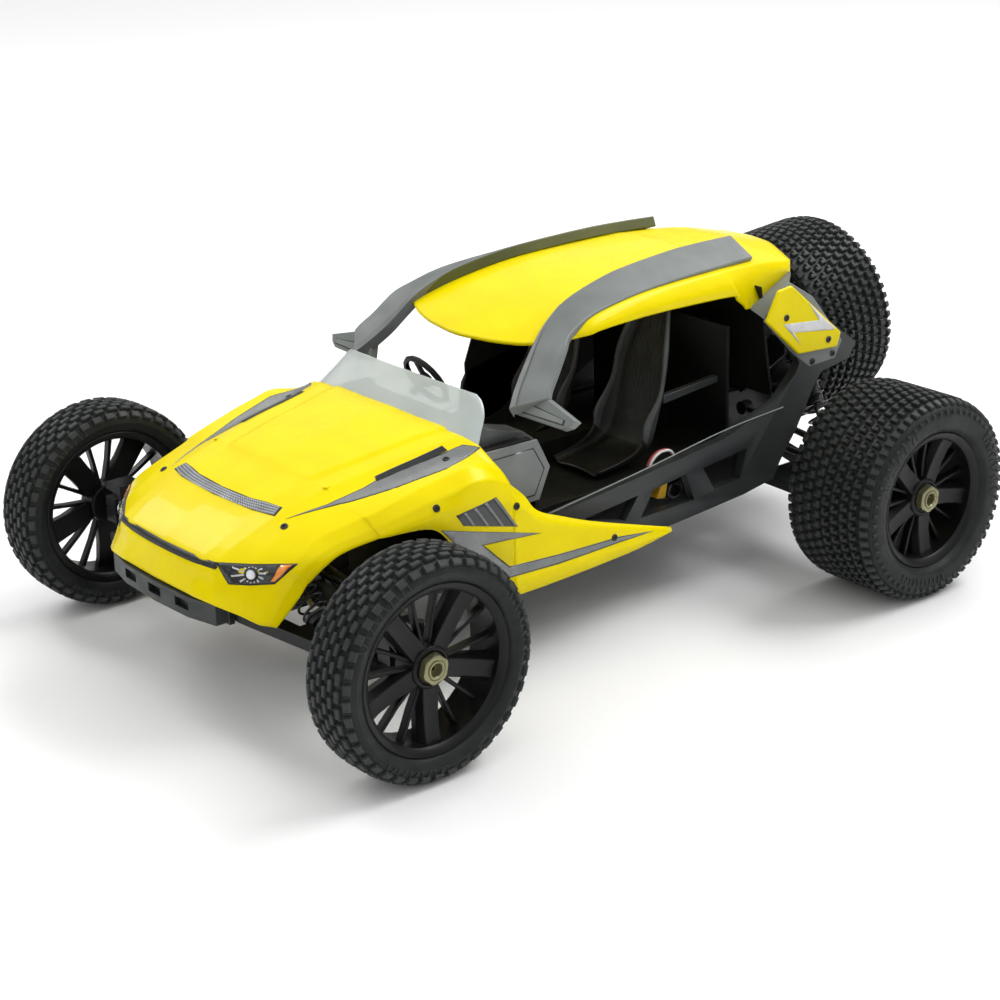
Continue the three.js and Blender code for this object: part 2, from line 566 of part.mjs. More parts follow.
// ---- front bumper with three slots ----
function bumper() {
  const half = [[36, -277.5], [60, -272], [60, -263], [34, -267.5]];
  const ring = [[0, -279], ...half, [0, -268.5], ...half.slice().reverse().map(([x, y]) => [-x, y])];
  const bar = plateZ(ring, 74, 87.4);
  const tongue = box(-22, 22, -268, -258, 74, 78);
  const slots = [-30, 0, 30].map((x) => box(x - 7, x + 7, -290, -274.5, 78.5, 84.5));
  return cut(join(bar, tongue), ...slots);
}
add('front_bumper', bumper(), CHARCOAL);

// ---- spare wheel on its bracket behind the roof ----
const spare = new THREE.Group();
spare.position.set(0, SPARE.y, SPARE.z);
spare.rotation.set(SPARE.tilt, 0, 0);
buggy.add(spare);
const facingBack = (g) => g.rotateZ(Math.PI / 2);
add('spare_tyre', facingBack(tyreShape(REAR_WHEEL)), TYRE, spare);
add('spare_rim', facingBack(rimShape(REAR_WHEEL)), BLACK, spare);
const spareFace = REAR_WHEEL.hubOut - REAR_WHEEL.x;
const spareHub = REAR_WHEEL.hubIn - REAR_WHEEL.x;
add('spare_wheel_bracket', facingBack(join(
  rod([-44, 0, 0], [spareFace + 1, 0, 0], AXLE_R, 12),
  rod([-47, 0, 0], [spareHub - GAP, 0, 0], 8, 12),
  rod([spareFace + GAP, 0, 0], [spareFace + 7.5, 0, 0], HEX_R, 6),
  plateX([[-20, -34], [20, -34], [12, 10], [-12, 10]], -47, -43),
)), STEEL, spare);

export default buggy;
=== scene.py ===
"""Looks of the 1:7 remote-control desert buggy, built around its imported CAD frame."""

import json
import math

import bmesh
import bpy
from mathutils import Matrix, Vector
from mathutils.bvhtree import BVHTree
from mathutils.geometry import tessellate_polygon

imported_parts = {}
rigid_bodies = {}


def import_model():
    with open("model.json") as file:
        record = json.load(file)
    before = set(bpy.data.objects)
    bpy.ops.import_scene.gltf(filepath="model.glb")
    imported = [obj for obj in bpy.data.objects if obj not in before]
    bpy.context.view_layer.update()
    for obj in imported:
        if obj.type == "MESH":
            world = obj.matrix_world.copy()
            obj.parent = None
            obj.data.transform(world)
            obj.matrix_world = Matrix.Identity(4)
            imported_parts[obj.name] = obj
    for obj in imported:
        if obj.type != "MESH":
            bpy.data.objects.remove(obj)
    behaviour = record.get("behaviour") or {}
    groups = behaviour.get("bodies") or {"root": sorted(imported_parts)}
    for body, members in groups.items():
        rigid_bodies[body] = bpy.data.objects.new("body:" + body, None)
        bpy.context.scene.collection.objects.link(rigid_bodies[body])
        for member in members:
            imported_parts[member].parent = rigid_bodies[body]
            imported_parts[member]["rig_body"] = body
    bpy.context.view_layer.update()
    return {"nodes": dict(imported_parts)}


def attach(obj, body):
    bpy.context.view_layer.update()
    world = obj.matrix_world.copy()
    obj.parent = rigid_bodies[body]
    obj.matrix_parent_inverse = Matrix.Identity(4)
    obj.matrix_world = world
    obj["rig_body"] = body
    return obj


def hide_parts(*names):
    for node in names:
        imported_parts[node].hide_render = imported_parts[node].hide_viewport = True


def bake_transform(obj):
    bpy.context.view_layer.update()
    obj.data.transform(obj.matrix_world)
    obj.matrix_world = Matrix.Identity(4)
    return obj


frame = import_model()

# ---- driving dimensions, in millimetres, drawn like the CAD from midway between the axles ----
CENTRING = -22.8
AXLE = 209.2
HUB_Z = 72
FRONT_WHEEL = {"x": 181, "half": 20, "lip": 54, "seat": 50, "face": 17, "hub_in": -7, "hub_out": 11}
REAR_WHEEL = {"x": 175, "half": 38, "lip": 48, "seat": 44, "face": 34, "hub_in": 5, "hub_out": 27}
TYRE_R = 72
SPARE = {"y": 283.7, "z": 141.8, "tilt": 0.08}
SHEET = 2.0
FILM = 0.4
SIDES = (("left", 1), ("right", -1))
X, Y, Z = Vector((1, 0, 0)), Vector((0, 1, 0)), Vector((0, 0, 1))


def at(x, y, z):
    """A point of the drawing, in metres in the frame."""
    return Vector((x, y + CENTRING, z)) / 1000


def mirrored(points, sign):
    """Points of the left side for sign 1, and their mirror image for sign -1."""
    return [(x * sign, y, z) for x, y, z in points]


def in_frame(points, sign=1):
    """Points of the drawing, mirrored by the sign, in millimetres in the frame."""
    return [(x * sign, y + CENTRING, z) for x, y, z in points]


# ---- camera and lights; the turn is in degrees ----
FOCAL_LENGTH = 83.2
CAMERA_PLACE = (1168.6, -939.8, 637.9)
CAMERA_TURN = {"azimuth": 51.23, "elevation": 20.79, "roll": -1.51}


def make_camera():
    data = bpy.data.cameras.new("camera")
    data.lens = FOCAL_LENGTH
    data.clip_end = 50
    camera = bpy.data.objects.new("camera", data)
    bpy.context.scene.collection.objects.link(camera)
    azimuth, elevation, roll = (math.radians(angle) for angle in CAMERA_TURN.values())
    flat = math.cos(elevation)
    back = Vector((math.sin(azimuth) * flat, -math.cos(azimuth) * flat, math.sin(elevation)))
    level = Vector((math.cos(azimuth), math.sin(azimuth), 0))
    upright = back.cross(level)
    right = level * math.cos(roll) + upright * math.sin(roll)
    up = back.cross(right)
    turn = Matrix((right, up, back)).transposed().to_4x4()
    camera.matrix_world = Matrix.Translation(at(*CAMERA_PLACE)) @ turn
    bpy.context.scene.camera = camera


def soft_box(name, place, target, size, power):
    data = bpy.data.lights.new(name, "AREA")
    data.shape = "RECTANGLE"
    data.size, data.size_y = size
    data.energy = power
    lamp = bpy.data.objects.new(name, data)
    bpy.context.scene.collection.objects.link(lamp)
    lamp.location = place
    lamp.rotation_euler = (Vector(target) - Vector(place)).to_track_quat("-Z", "Y").to_euler()


def make_studio():
    world = bpy.data.worlds.new("studio")
    world.use_nodes = True
    background = world.node_tree.nodes["Background"]
    background.inputs["Color"].default_value = (1, 1, 1, 1)
    background.inputs["Strength"].default_value = 0.25
    bpy.context.scene.world = world
    soft_box("ceiling", (0, 0, 5), (0, 0, 0), (30, 30), 2000)
    soft_box("nose", (-1.75, -0.45, 1.75), (0, -0.25, 0.12), (0.55, 1.3), 13)
    soft_box("flank", (0.45, 1.45, 1.95), (0, 0, 0.1), (1.9, 0.8), 36)
    bpy.context.scene.view_settings.view_transform = "Standard"


# ---- materials ----
def surface(name, dark, light, rough, grain=(900, 0.12), cloud=35, wear_and_sheen=0.0, **sockets):
    """A plastic, rubber or metal: clouded colour, varied roughness, grain and paler edges, partly wear and
    partly a painted edge highlight.
    """
    mat = bpy.data.materials.new(name)
    mat.use_nodes = True
    nodes, link = mat.node_tree.nodes, mat.node_tree.links.new
    shader = nodes["Principled BSDF"]
    place = nodes.new("ShaderNodeTexCoord")

    def noise(scale, detail=4):
        node = nodes.new("ShaderNodeTexNoise")
        node.inputs["Scale"].default_value = scale
        node.inputs["Detail"].default_value = detail
        link(place.outputs["Object"], node.inputs["Vector"])
        return node.outputs["Fac"]

    def spread(source, low, high, ends):
        node = nodes.new("ShaderNodeMapRange")
        for socket, value in zip(("From Min", "From Max", "To Min", "To Max"), (low, high, *ends)):
            node.inputs[socket].default_value = value
        link(source, node.inputs["Value"])
        return node.outputs["Result"]

    colour = nodes.new("ShaderNodeMix")
    colour.data_type = "RGBA"
    colour.inputs["A"].default_value = (*dark, 1)
    colour.inputs["B"].default_value = (*light, 1)
    link(spread(noise(cloud), 0.35, 0.65, (0, 1)), colour.inputs["Factor"])
    result = colour.outputs["Result"]
    # Paler convex edges: partly wear, partly a painted edge highlight.
    if wear_and_sheen:
        shape = nodes.new("ShaderNodeNewGeometry")
        edge = spread(shape.outputs["Pointiness"], 0.52, 0.6, (0, wear_and_sheen))
        worn_and_lit = nodes.new("ShaderNodeMix")
        worn_and_lit.data_type = "RGBA"
        worn_and_lit.inputs["B"].default_value = (*[min(1, c * 2.2 + 0.08) for c in light], 1)
        link(result, worn_and_lit.inputs["A"])
        link(edge, worn_and_lit.inputs["Factor"])
        result = worn_and_lit.outputs["Result"]
    link(result, shader.inputs["Base Color"])
    link(spread(noise(cloud * 2.3, 6), 0.3, 0.7, rough), shader.inputs["Roughness"])
    bump = nodes.new("ShaderNodeBump")
    bump.inputs["Strength"].default_value = grain[1]
    bump.inputs["Distance"].default_value = 0.0003
    link(noise(grain[0], 3), bump.inputs["Height"])
    link(bump.outputs["Normal"], shader.inputs["Normal"])
    for socket, value in sockets.items():
        shader.inputs[socket.replace("_", " ")].default_value = value
    return mat


YELLOW = surface("yellow_polycarbonate", (0.81, 0.65, 0.0005), (0.85, 0.7, 0.001), (0.2, 0.3),
                 grain=(260, 0.05), Coat_Weight=0.12, Coat_Roughness=0.06, Specular_IOR_Level=0.05)
GREY = surface("grey_nylon", (0.115, 0.13, 0.125), (0.15, 0.165, 0.16), (0.38, 0.5), grain=(2200, 0.25),
               wear_and_sheen=0.35)
CHARCOAL = surface("charcoal_nylon", (0.013, 0.0155, 0.016), (0.022, 0.0255, 0.026), (0.34, 0.5),
                   grain=(2000, 0.3), wear_and_sheen=0.25, Specular_IOR_Level=0.35)
BLACK = surface("black_nylon", (0.006, 0.0065, 0.007), (0.013, 0.014, 0.015), (0.3, 0.46),
                grain=(1800, 0.25), wear_and_sheen=0.12, Specular_IOR_Level=0.3)
RIM = surface("black_rim", (0.003, 0.0032, 0.0034), (0.007, 0.0074, 0.0078), (0.3, 0.42),
              grain=(2400, 0.2), Specular_IOR_Level=0.22)
RUBBER = surface("tyre_rubber", (0.0045, 0.006, 0.0056), (0.011, 0.014, 0.013), (0.45, 0.62),
                 grain=(1500, 0.4), cloud=60, wear_and_sheen=0.2, Specular_IOR_Level=0.28)
# Near-black tray plastic, also used as painted shade on the seat cushion and as dark sheets in the cabin.
TRAY_AND_SHADE = surface("tray_plastic_and_painted_shade", (0.005, 0.0052, 0.005), (0.011, 0.011, 0.0095), (0.35, 0.5),
               grain=(1400, 0.3), Specular_IOR_Level=0.25)
PANEL_GREY = surface("panel_grey", (0.13, 0.14, 0.138), (0.17, 0.18, 0.178), (0.4, 0.55),
                     grain=(1500, 0.3), wear_and_sheen=0.2)
SEAT = surface("seat_plastic", (0.018, 0.019, 0.019), (0.03, 0.032, 0.032), (0.5, 0.66),
               grain=(1300, 0.5), wear_and_sheen=0.25, Specular_IOR_Level=0.35)
STEEL = surface("turned_steel", (0.5, 0.51, 0.52), (0.66, 0.67, 0.68), (0.18, 0.34), grain=(1200, 0.1),
                Metallic=1.0)
NUT = surface("olive_nut", (0.2, 0.19, 0.1), (0.27, 0.255, 0.14), (0.25, 0.38), grain=(1500, 0.1),
              Metallic=0.6)
# Olive: a painted reflection of the yellow roof on the rails' inner faces.
OLIVE_ROOF_REFLECTION = surface("olive_painted_roof_reflection", (0.07, 0.08, 0.018), (0.1, 0.11, 0.03), (0.4, 0.55), grain=(1300, 0.2))
DARK_STEEL = surface("dark_steel", (0.03, 0.03, 0.032), (0.06, 0.06, 0.062), (0.25, 0.4), Metallic=0.8)
# Paler grey: a painted highlight on the seat's wing edges, and the dash end's own grey.
SEAT_HIGHLIGHT_AND_DASH_GREY = surface("seat_highlight_and_dash_grey", (0.05, 0.056, 0.055), (0.08, 0.088, 0.086), (0.4, 0.55),
                    grain=(1300, 0.4))
SPRING = surface("spring_steel", (0.01, 0.01, 0.011), (0.02, 0.02, 0.022), (0.2, 0.34), Metallic=0.4)
MOTOR_CAN = surface("motor_can", (0.07, 0.07, 0.075), (0.11, 0.11, 0.115), (0.24, 0.4), Metallic=1.0)
WRAP = surface("battery_wrap", (0.01, 0.016, 0.04), (0.016, 0.025, 0.06), (0.25, 0.4))
CONNECTOR = surface("yellow_connector", (0.72, 0.4, 0.01), (0.8, 0.5, 0.02), (0.3, 0.45))
RED_WIRE = surface("red_wire", (0.3, 0.02, 0.03), (0.4, 0.04, 0.05), (0.4, 0.5))
WHITE_WIRE = surface("white_wire", (0.6, 0.58, 0.57), (0.75, 0.72, 0.7), (0.4, 0.5))
DECAL_GREY = surface("decal_grey", (0.13, 0.14, 0.14), (0.2, 0.21, 0.2), (0.25, 0.35), grain=(500, 0.04),
                     Coat_Weight=0.5)
DECAL_PALE = surface("decal_pale", (0.5, 0.5, 0.52), (0.66, 0.66, 0.68), (0.25, 0.35), grain=(500, 0.04),
                     Coat_Weight=0.5)
DECAL_DARK = surface("decal_dark", (0.008, 0.01, 0.012), (0.016, 0.018, 0.02), (0.28, 0.38),
                     grain=(500, 0.04), Coat_Weight=0.4)
SILVER = surface("silver_mesh", (0.36, 0.38, 0.4), (0.52, 0.54, 0.57), (0.22, 0.35))
FLOOR = surface("pale_floor", (0.9, 0.9, 0.9), (0.92, 0.92, 0.92), (0.7, 0.8), grain=(30, 0.02),
                cloud=0.5)
LENS = surface("lens_glass", (0.75, 0.77, 0.8), (0.9, 0.92, 0.95), (0.05, 0.12), grain=(300, 0.05),
               Coat_Weight=1.0)
AMBER = surface("amber_lens", (0.8, 0.2, 0.01), (0.9, 0.3, 0.02), (0.1, 0.2), grain=(600, 0.1),
                Coat_Weight=1.0)
CLEAR = surface("clear_polycarbonate", (0.56, 0.63, 0.62), (0.64, 0.7, 0.69), (0.08, 0.16),
                grain=(200, 0.03), Alpha=0.72, Coat_Weight=0.7, Coat_Roughness=0.05)


# ---- mesh helpers ----
def adopt(name, mesh, mat, body, smooth=True):
    obj = bpy.data.objects.new(name, mesh)
    bpy.context.scene.collection.objects.link(obj)
    mesh.materials.clear()
    mesh.materials.append(mat)
    if smooth:
        mesh.shade_smooth()
    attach(obj, body)
    return obj


def rounded(obj, width, segments=2, angle=28):
    """Rounds the sharp edges by a width in millimetres."""
    bevel = obj.modifiers.new("rounded", "BEVEL")
    bevel.width = width / 1000
    bevel.segments = segments
    bevel.limit_method = "ANGLE"
    bevel.angle_limit = math.radians(angle)
    bevel.harden_normals = True
    obj.modifiers.new("even", "WEIGHTED_NORMAL").keep_sharp = True
    return obj


def from_bmesh(name, bm, mat, body, matrix=None, smooth=True):
    bmesh.ops.recalc_face_normals(bm, faces=bm.faces)
    if matrix is not None:
        bm.transform(matrix)
        if matrix.determinant() < 0:
            bmesh.ops.reverse_faces(bm, faces=bm.faces)
    mesh = bpy.data.meshes.new(name)
    bm.to_mesh(mesh)
    bm.free()
    return adopt(name, mesh, mat, body, smooth)


def finished(node, mat, width):
    """The CAD piece with its facets merged and its edges rounded, which stands for it."""
    source = frame["nodes"][node]
    bm = bmesh.new()
    bm.from_mesh(source.data)
    bmesh.ops.remove_doubles(bm, verts=bm.verts, dist=2e-5)
    bmesh.ops.dissolve_limit(bm, angle_limit=math.radians(0.6), verts=bm.verts, edges=bm.edges)
    obj = from_bmesh(f"{node}_finished", bm, mat, source["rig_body"])
    rounded(obj, width)
    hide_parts(node)
    return obj


def bridge(bm, rings):
    """Joins each ring of vertices to the next with quads."""
    for a, b in zip(rings, rings[1:]):
        for k in range(len(a)):
            n = (k + 1) % len(a)
            bm.faces.new((a[k], a[n], b[n], b[k]))


def closed_solid(bm, rings):
    """Joins the rings and closes both ends."""
    bridge(bm, rings)
    bm.faces.new(rings[0][::-1])
    bm.faces.new(rings[-1])


def lathe(bm, profile, steps, closed=True):
    """Turns a (radius, x) outline about X."""
    rings = []
    for r, x in profile:
        ring = []
        for k in range(steps):
            turn = 2 * math.pi * k / steps
            ring.append(bm.verts.new(Vector((x, r * math.cos(turn), r * math.sin(turn))) / 1000))
        rings.append(ring)
    bridge(bm, rings + rings[:1] if closed else rings)


def smooth_line(points, count):
    """Catmull-Rom curve through points, as count + 1 points at even parameter steps."""
    pts = [Vector(p) for p in points]
    pts = [2 * pts[0] - pts[1], *pts, 2 * pts[-1] - pts[-2]]
    spans = len(pts) - 3
    out = []
    for k in range(count + 1):
        u = spans * k / count
        i = min(int(u), spans - 1)
        t = u - i
        a, b, c, d = pts[i:i + 4]
        out.append(0.5 * (2 * b + (c - a) * t + (2 * a - 5 * b + 4 * c - d) * t * t
                          + (3 * b - a - 3 * c + d) * t ** 3))
    return out


def slab(name, outline, low, high, mat, width=0.6, sign=1, segments=2):
    """A plate with its outline in (y, z), from x = low to high, or mirrored to the right side."""
    bm = bmesh.new()
    out = X * sign
    rings = [[bm.verts.new((Y * y + Z * z + out * x) / 1000) for y, z in outline] for x in (low, high)]
    bm.faces.new(rings[0][::-1])
    bm.faces.new(rings[1])
    bridge(bm, rings)
    plate = from_bmesh(name, bm, mat, "chassis", Matrix.Translation(Y * CENTRING / 1000))
    return rounded(plate, width, segments) if width else plate


def tube(bm, path, radius, sides):
    """A round tube of a radius in metres along a list of points in metres."""
    rings = []
    normal = None
    for k, p in enumerate(path):
        along = (path[min(k + 1, len(path) - 1)] - path[max(k - 1, 0)]).normalized()
        if normal is None:
            normal = along.orthogonal().normalized()
        normal = (normal - along * normal.dot(along)).normalized()
        side = along.cross(normal)
        rings.append([bm.verts.new(p + radius * (normal * math.cos(a) + side * math.sin(a)))
                      for a in (2 * math.pi * j / sides for j in range(sides))])
    closed_solid(bm, rings)


def curved_rod(name, points, radius, sides, mat):
    """A round rod or lead along a curve through points of the drawing."""
    bm = bmesh.new()
    tube(bm, [at(*p) for p in smooth_line(points, 40)], radius, sides)
    from_bmesh(name, bm, mat, "chassis")


# ---- wheels, around their own centre with the outer face towards +X ----
def carcass_line(wheel):
    """Half of the tyre's section, from the middle of the tread to the bead, as (radius, x)."""
    h, lip, seat, face = wheel["half"], wheel["lip"], wheel["seat"], wheel["face"]
    crown = TYRE_R - 2.9
    return [(crown, 0), (crown, h * 0.3), (crown - 0.2, h - 10), (crown - 1.2, h - 5),
            (crown - 4, h - 1.4), (crown - 8, h), ((crown + lip) / 2 - 1.5, h), (lip + 4, h - 0.7),
            (lip + 1.2, face + 0.7), (lip - 0.2, face - 1), (seat + 0.3, face - 3.2)]


def tyre_section(wheel, count=44):
    line = smooth_line([(r, x, 0) for r, x in carcass_line(wheel)], count)
    lengths = [0]
    for a, b in zip(line, line[1:]):
        lengths.append(lengths[-1] + (b - a).length)
    return line, lengths


def on_section(section, s):
    """Point and outward normal of the tyre's section at arc length s from its middle."""
    line, lengths = section
    d = abs(s)
    k = max(i for i, length in enumerate(lengths[:-1]) if length <= d)
    t = (d - lengths[k]) / (lengths[k + 1] - lengths[k])
    p = line[k].lerp(line[k + 1], t)
    along = (line[k + 1] - line[k]).normalized()
    sign = 1 if s >= 0 else -1
    return p.x, sign * p.y, along.y, -sign * along.x


def stud(bm, section, s, turn, outline, height, draft=0.35):
    """A tread block: outline points (across, around) in millimetres, raised from the carcass."""
    def ring(scale_in, lift):
        verts = []
        for across, around in outline:
            a = across - math.copysign(min(scale_in, abs(across)), across)
            b = around - math.copysign(min(scale_in, abs(around)), around)
            r, x, nr, nx = on_section(section, s + a)
            angle = turn + b / (TYRE_R - 2)
            radius = r + nr * lift
            verts.append(bm.verts.new(Vector((x + nx * lift, radius * math.cos(angle),
                                              radius * math.sin(angle))) / 1000))
        return verts
    rings = [ring(0, -0.6), ring(draft * 0.6, height - 0.5), ring(draft + 0.35, height)]
    bridge(bm, rings)
    bm.faces.new(rings[-1])


def brick(width, length):
    w, h = width / 2, length / 2
    return [(-w, -h), (w, -h), (w, h), (-w, h)]


def tyre_mesh(wheel, wide):
    bm = bmesh.new()
    section = tyre_section(wheel)
    half = [(p.x, p.y) for p in section[0]]
    inner = wheel["seat"] + 0.3
    profile = [(r, -x) for r, x in reversed(half[1:])] + half
    profile += [(inner, half[-1][1] - 4), (inner, 4 - half[-1][1])]
    lathe(bm, profile, 120)
    if wide:
        rows, pitch_s, count, height = 9, 8.2, 60, 2.9
        knob = [(-2.9, -2.6), (0.4, -2.6), (0.4, -0.6), (2.9, -0.6), (2.9, 2.6), (-2.9, 2.6)]
        shoulder = [(-2.6, -2.7), (2.6, -2.1), (2.6, 2.1), (-2.6, 2.7)]
    else:
        rows, pitch_s, count, height = 8, 5.3, 42, 2.7
        knob = brick(3.5, 7.4)
        shoulder = brick(4.2, 7.0)
    for row in range(rows):
        s = (row - (rows - 1) / 2) * pitch_s
        edge = row in (0, rows - 1)
        shape = shoulder if edge else knob
        if wide and s < 0 and not edge:
            shape = [(-a, b) for a, b in reversed(knob)]
        for k in range(count):
            turn = 2 * math.pi * (k + 0.5 * (row % 2)) / count
            stud(bm, section, s, turn, shape, height - (0.4 if edge else 0))
    if wide:
        for side in (-1, 1):
            for k in range(count):
                stud(bm, section, side * (rows / 2 * pitch_s + 3.2), 2 * math.pi * (k + 0.25) / count,
                     brick(3.4, 2.6), 1.3)
    middle = on_section_length(section, (wheel["lip"] + TYRE_R) / 2 - (2 if wide else 0))
    for side in (-1, 1):
        for group in range(3):
            for k in range(11):
                turn = 2 * math.pi * group / 3 + (k - 5) * 0.075 + 0.4
                lean = 0.9 if k % 2 else -0.9
                bar = [(-2.6, -0.5 - lean), (2.6, -0.5 + lean), (2.6, 0.5 + lean), (-2.6, 0.5 - lean)]
                stud(bm, section, side * middle, turn, bar, 0.55, 0.1)
    return bm


def on_section_length(section, radius):
    """Arc length at which the side wall has come down to a radius."""
    line, lengths = section
    for p, length in zip(line, lengths):
        if p.x <= radius:
            return length
    return lengths[-1]


def loft(bm, rings):
    """Joins rings of points in millimetres into a closed solid."""
    closed_solid(bm, [[bm.verts.new(Vector(p) / 1000) for p in ring] for ring in rings])


def lofted(name, rings, mat):
    """One piece of the body from rings of points in millimetres."""
    bm = bmesh.new()
    loft(bm, rings)
    return from_bmesh(name, bm, mat, "chassis")


def rim_meshes(wheel):
    """The barrel with its lips, and the spokes with their hub."""
    seat, lip, face, out = wheel["seat"], wheel["lip"], wheel["face"], wheel["hub_out"]
    barrel = bmesh.new()
    half = [(seat - 1.9, 0), (seat - 1.9, face - 3.4), (seat - 0.6, face - 1.6), (lip - 1.8, face - 0.5),
            (lip - 0.9, face - 0.1), (lip - 0.2, face - 0.6), (lip - 0.1, face - 1.8),
            (lip - 1.4, face - 2.6), (seat + 0.2, face - 3.6), (seat, face - 6)]
    lathe(barrel, half + [(r, -x) for r, x in reversed(half[1:])], 96)
    spokes = bmesh.new()
    reach = seat - 1.2
    for i in range(5):
        turn = Matrix.Rotation(2 * math.pi * i / 5, 3, "X")
        rings = []
        for r, top, base, x in ((8, 5.4, 7.0, out - 1), (16, 5.6, 7.2, out - 1.8),
                                (reach * 0.62, 5.2, 7.6, out - 2.4),
                                (reach * 0.86, 5.2, 8.4, out - 1.6), (reach, 5.6, 9.6, out)):
            section = [(x - 10, -base), (x - 5, -base), (x, -top), (x - 0.7, 0),
                       (x, top), (x - 5, base), (x - 10, base)]
            rings.append([turn @ Vector((a, b, r)) for a, b in section])
        loft(spokes, rings)
        for offset in (-0.2, 0.2):
            turn = Matrix.Rotation(2 * math.pi * (i + 0.5) / 5 + offset, 3, "X")
            rings = []
            for r, half, x in ((8, 1.5, out - 4), (reach * 0.6, 1.2, out - 5), (reach, 1.4, out - 4)):
                section = [(x - 6, -half), (x - 0.5, -half), (x, 0), (x - 0.5, half), (x - 6, half)]
                rings.append([turn @ Vector((a, b, r)) for a, b in section])
            loft(spokes, rings)
    hub_in = wheel["hub_in"]
    lathe(spokes, [(4.4, hub_in), (13, hub_in), (14, hub_in + 1), (14, out - 5), (13.2, out - 1),
                   (11.6, out), (10.6, out - 0.2), (10.2, out - 1), (4.4, out - 1)], 48)
    return barrel, spokes


def nut_mesh(x):
    """A chamfered hexagon nut with its collar and an open thread, seated at x."""
    bm = bmesh.new()
    steps, flat = 36, 8.5

    def hexagon(limit):
        out = []
        for k in range(steps):
            turn = 2 * math.pi * k / steps
            fold = (turn + math.pi / 6) % (math.pi / 3) - math.pi / 6
            out.append(min(flat / math.cos(fold), limit))
        return out
    rows = [(hexagon(9.3), x + 0.3), (hexagon(9.8), x + 0.9), (hexagon(9.8), x + 4.2),
            (hexagon(9.2), x + 5.0), ([8.0] * steps, x + 5.4), ([6.6] * steps, x + 5.4),
            ([6.2] * steps, x + 4.9), ([5.8] * steps, x + 4.9), ([5.5] * steps, x + 5.8),
            ([4.5] * steps, x + 5.8), ([4.1] * steps, x + 5.2), ([4.1] * steps, x + 1)]
    rings = []
    for radii, place in rows:
        rings.append([bm.verts.new(Vector((place, r * math.cos(2 * math.pi * k / steps),
                                           r * math.sin(2 * math.pi * k / steps))) / 1000)
                      for k, r in enumerate(radii)])
    closed_solid(bm, rings)
    return bm


def make_wheel(corner, wheel, body, matrix, cad_parts, phase):
    """Tyre, rim, spokes and nut of one wheel, each in place of its CAD solid."""
    turned = matrix @ Matrix.Rotation(phase, 4, "X")
    tyre = from_bmesh(f"tyre_carcass_{corner}", tyre_mesh(wheel, wheel is REAR_WHEEL), RUBBER, body,
                      turned)
    edges_by_angle(tyre, 40)
    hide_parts(cad_parts[0])
    barrel, spokes = rim_meshes(wheel)
    rim = from_bmesh(f"rim_barrel_{corner}", barrel, RIM, body, turned)
    edges_by_angle(rim, 35)
    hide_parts(cad_parts[1])
    blades = rounded(from_bmesh(f"rim_spokes_{corner}", spokes, RIM, body, turned), 0.45, 2, 25)
    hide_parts(cad_parts[1])
    nut = from_bmesh(f"wheel_nut_{corner}", nut_mesh(wheel["hub_out"] - 1), NUT, body, turned)
    edges_by_angle(nut, 25)
    stub = bmesh.new()
    lathe(stub, [(0.01, wheel["hub_out"]), (1.8, wheel["hub_out"]), (3.8, wheel["hub_out"] - 0.6),
                 (3.8, -22), (0.01, -22)], 24, closed=False)
    axle = from_bmesh(f"axle_stub_{corner}", stub, BLACK, body, turned)
    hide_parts(cad_parts[2])
    return nut


def edges_by_angle(obj, degrees):
    """Shades smooth, and sharp where the faces turn by more than an angle."""
    obj.data.set_sharp_from_angle(angle=math.radians(degrees))


def make_wheels():
    for side, sign in SIDES:
        mirror = Matrix.Diagonal((sign, 1, 1, 1))
        for end, wheel, y, phase in (("front", FRONT_WHEEL, -AXLE, 1.88),
                                     ("rear", REAR_WHEEL, AXLE, 1.98)):
            corner = f"{end}_{side}"
            matrix = Matrix.Translation(at(sign * wheel["x"], y, HUB_Z)) @ mirror
            parts = (f"tyre_{corner}", f"rim_{corner}", f"axle_and_nut_{corner}")
            nut = make_wheel(corner, wheel, f"wheel_{corner}", matrix, parts, phase)
            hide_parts(parts[2])
    turn = Matrix.Rotation(SPARE["tilt"], 4, "X") @ Matrix.Rotation(math.pi / 2, 4, "Z")
    matrix = Matrix.Translation(at(0, SPARE["y"], SPARE["z"])) @ turn
    make_wheel("spare", REAR_WHEEL, "chassis", matrix, ("spare_tyre", "spare_rim", "spare_wheel_bracket"),
               0.4)
    bracket = finished("spare_wheel_bracket", GREY, 0.6)
    bracket.data.materials.append(NUT)
    for face in bracket.data.polygons:
        if face.center.y > at(0, SPARE["y"] + REAR_WHEEL["hub_out"] - 2, 0).y:
            face.material_index = 1


# ---- moulded shells: rows of points, given row by row in drawing millimetres ----
def full_width(rows):
    return [[(-x, y, z) for x, y, z in reversed(row[1:])] + list(row) for row in rows]


def rounded_row(points, corners, steps=4):
    """A row of straight runs with each corner rounded by up to its own radius."""
    out = [points[0]]
    for a, b, c, corner in zip(points, points[1:], points[2:], corners):
        before = min(corner, (a - b).length * 0.45)
        after = min(corner, (c - b).length * 0.45)
        start = b + (a - b).normalized() * before
        stop = b + (c - b).normalized() * after
        for k in range(steps + 1):
            t = k / steps
            out.append(start * (1 - t) ** 2 + b * 2 * t * (1 - t) + stop * t * t)
    out.append(points[-1])
    return out


def sheet_points(rows, along, corner):
    """A fine grid through the rows: curved along the car and with rounded corners across it."""
    corners = corner if isinstance(corner, tuple) else (corner,) * len(rows[0])
    columns = [smooth_line(column, along * (len(rows) - 1)) for column in zip(*rows)]
    return [rounded_row(list(station), corners) for station in zip(*columns)]


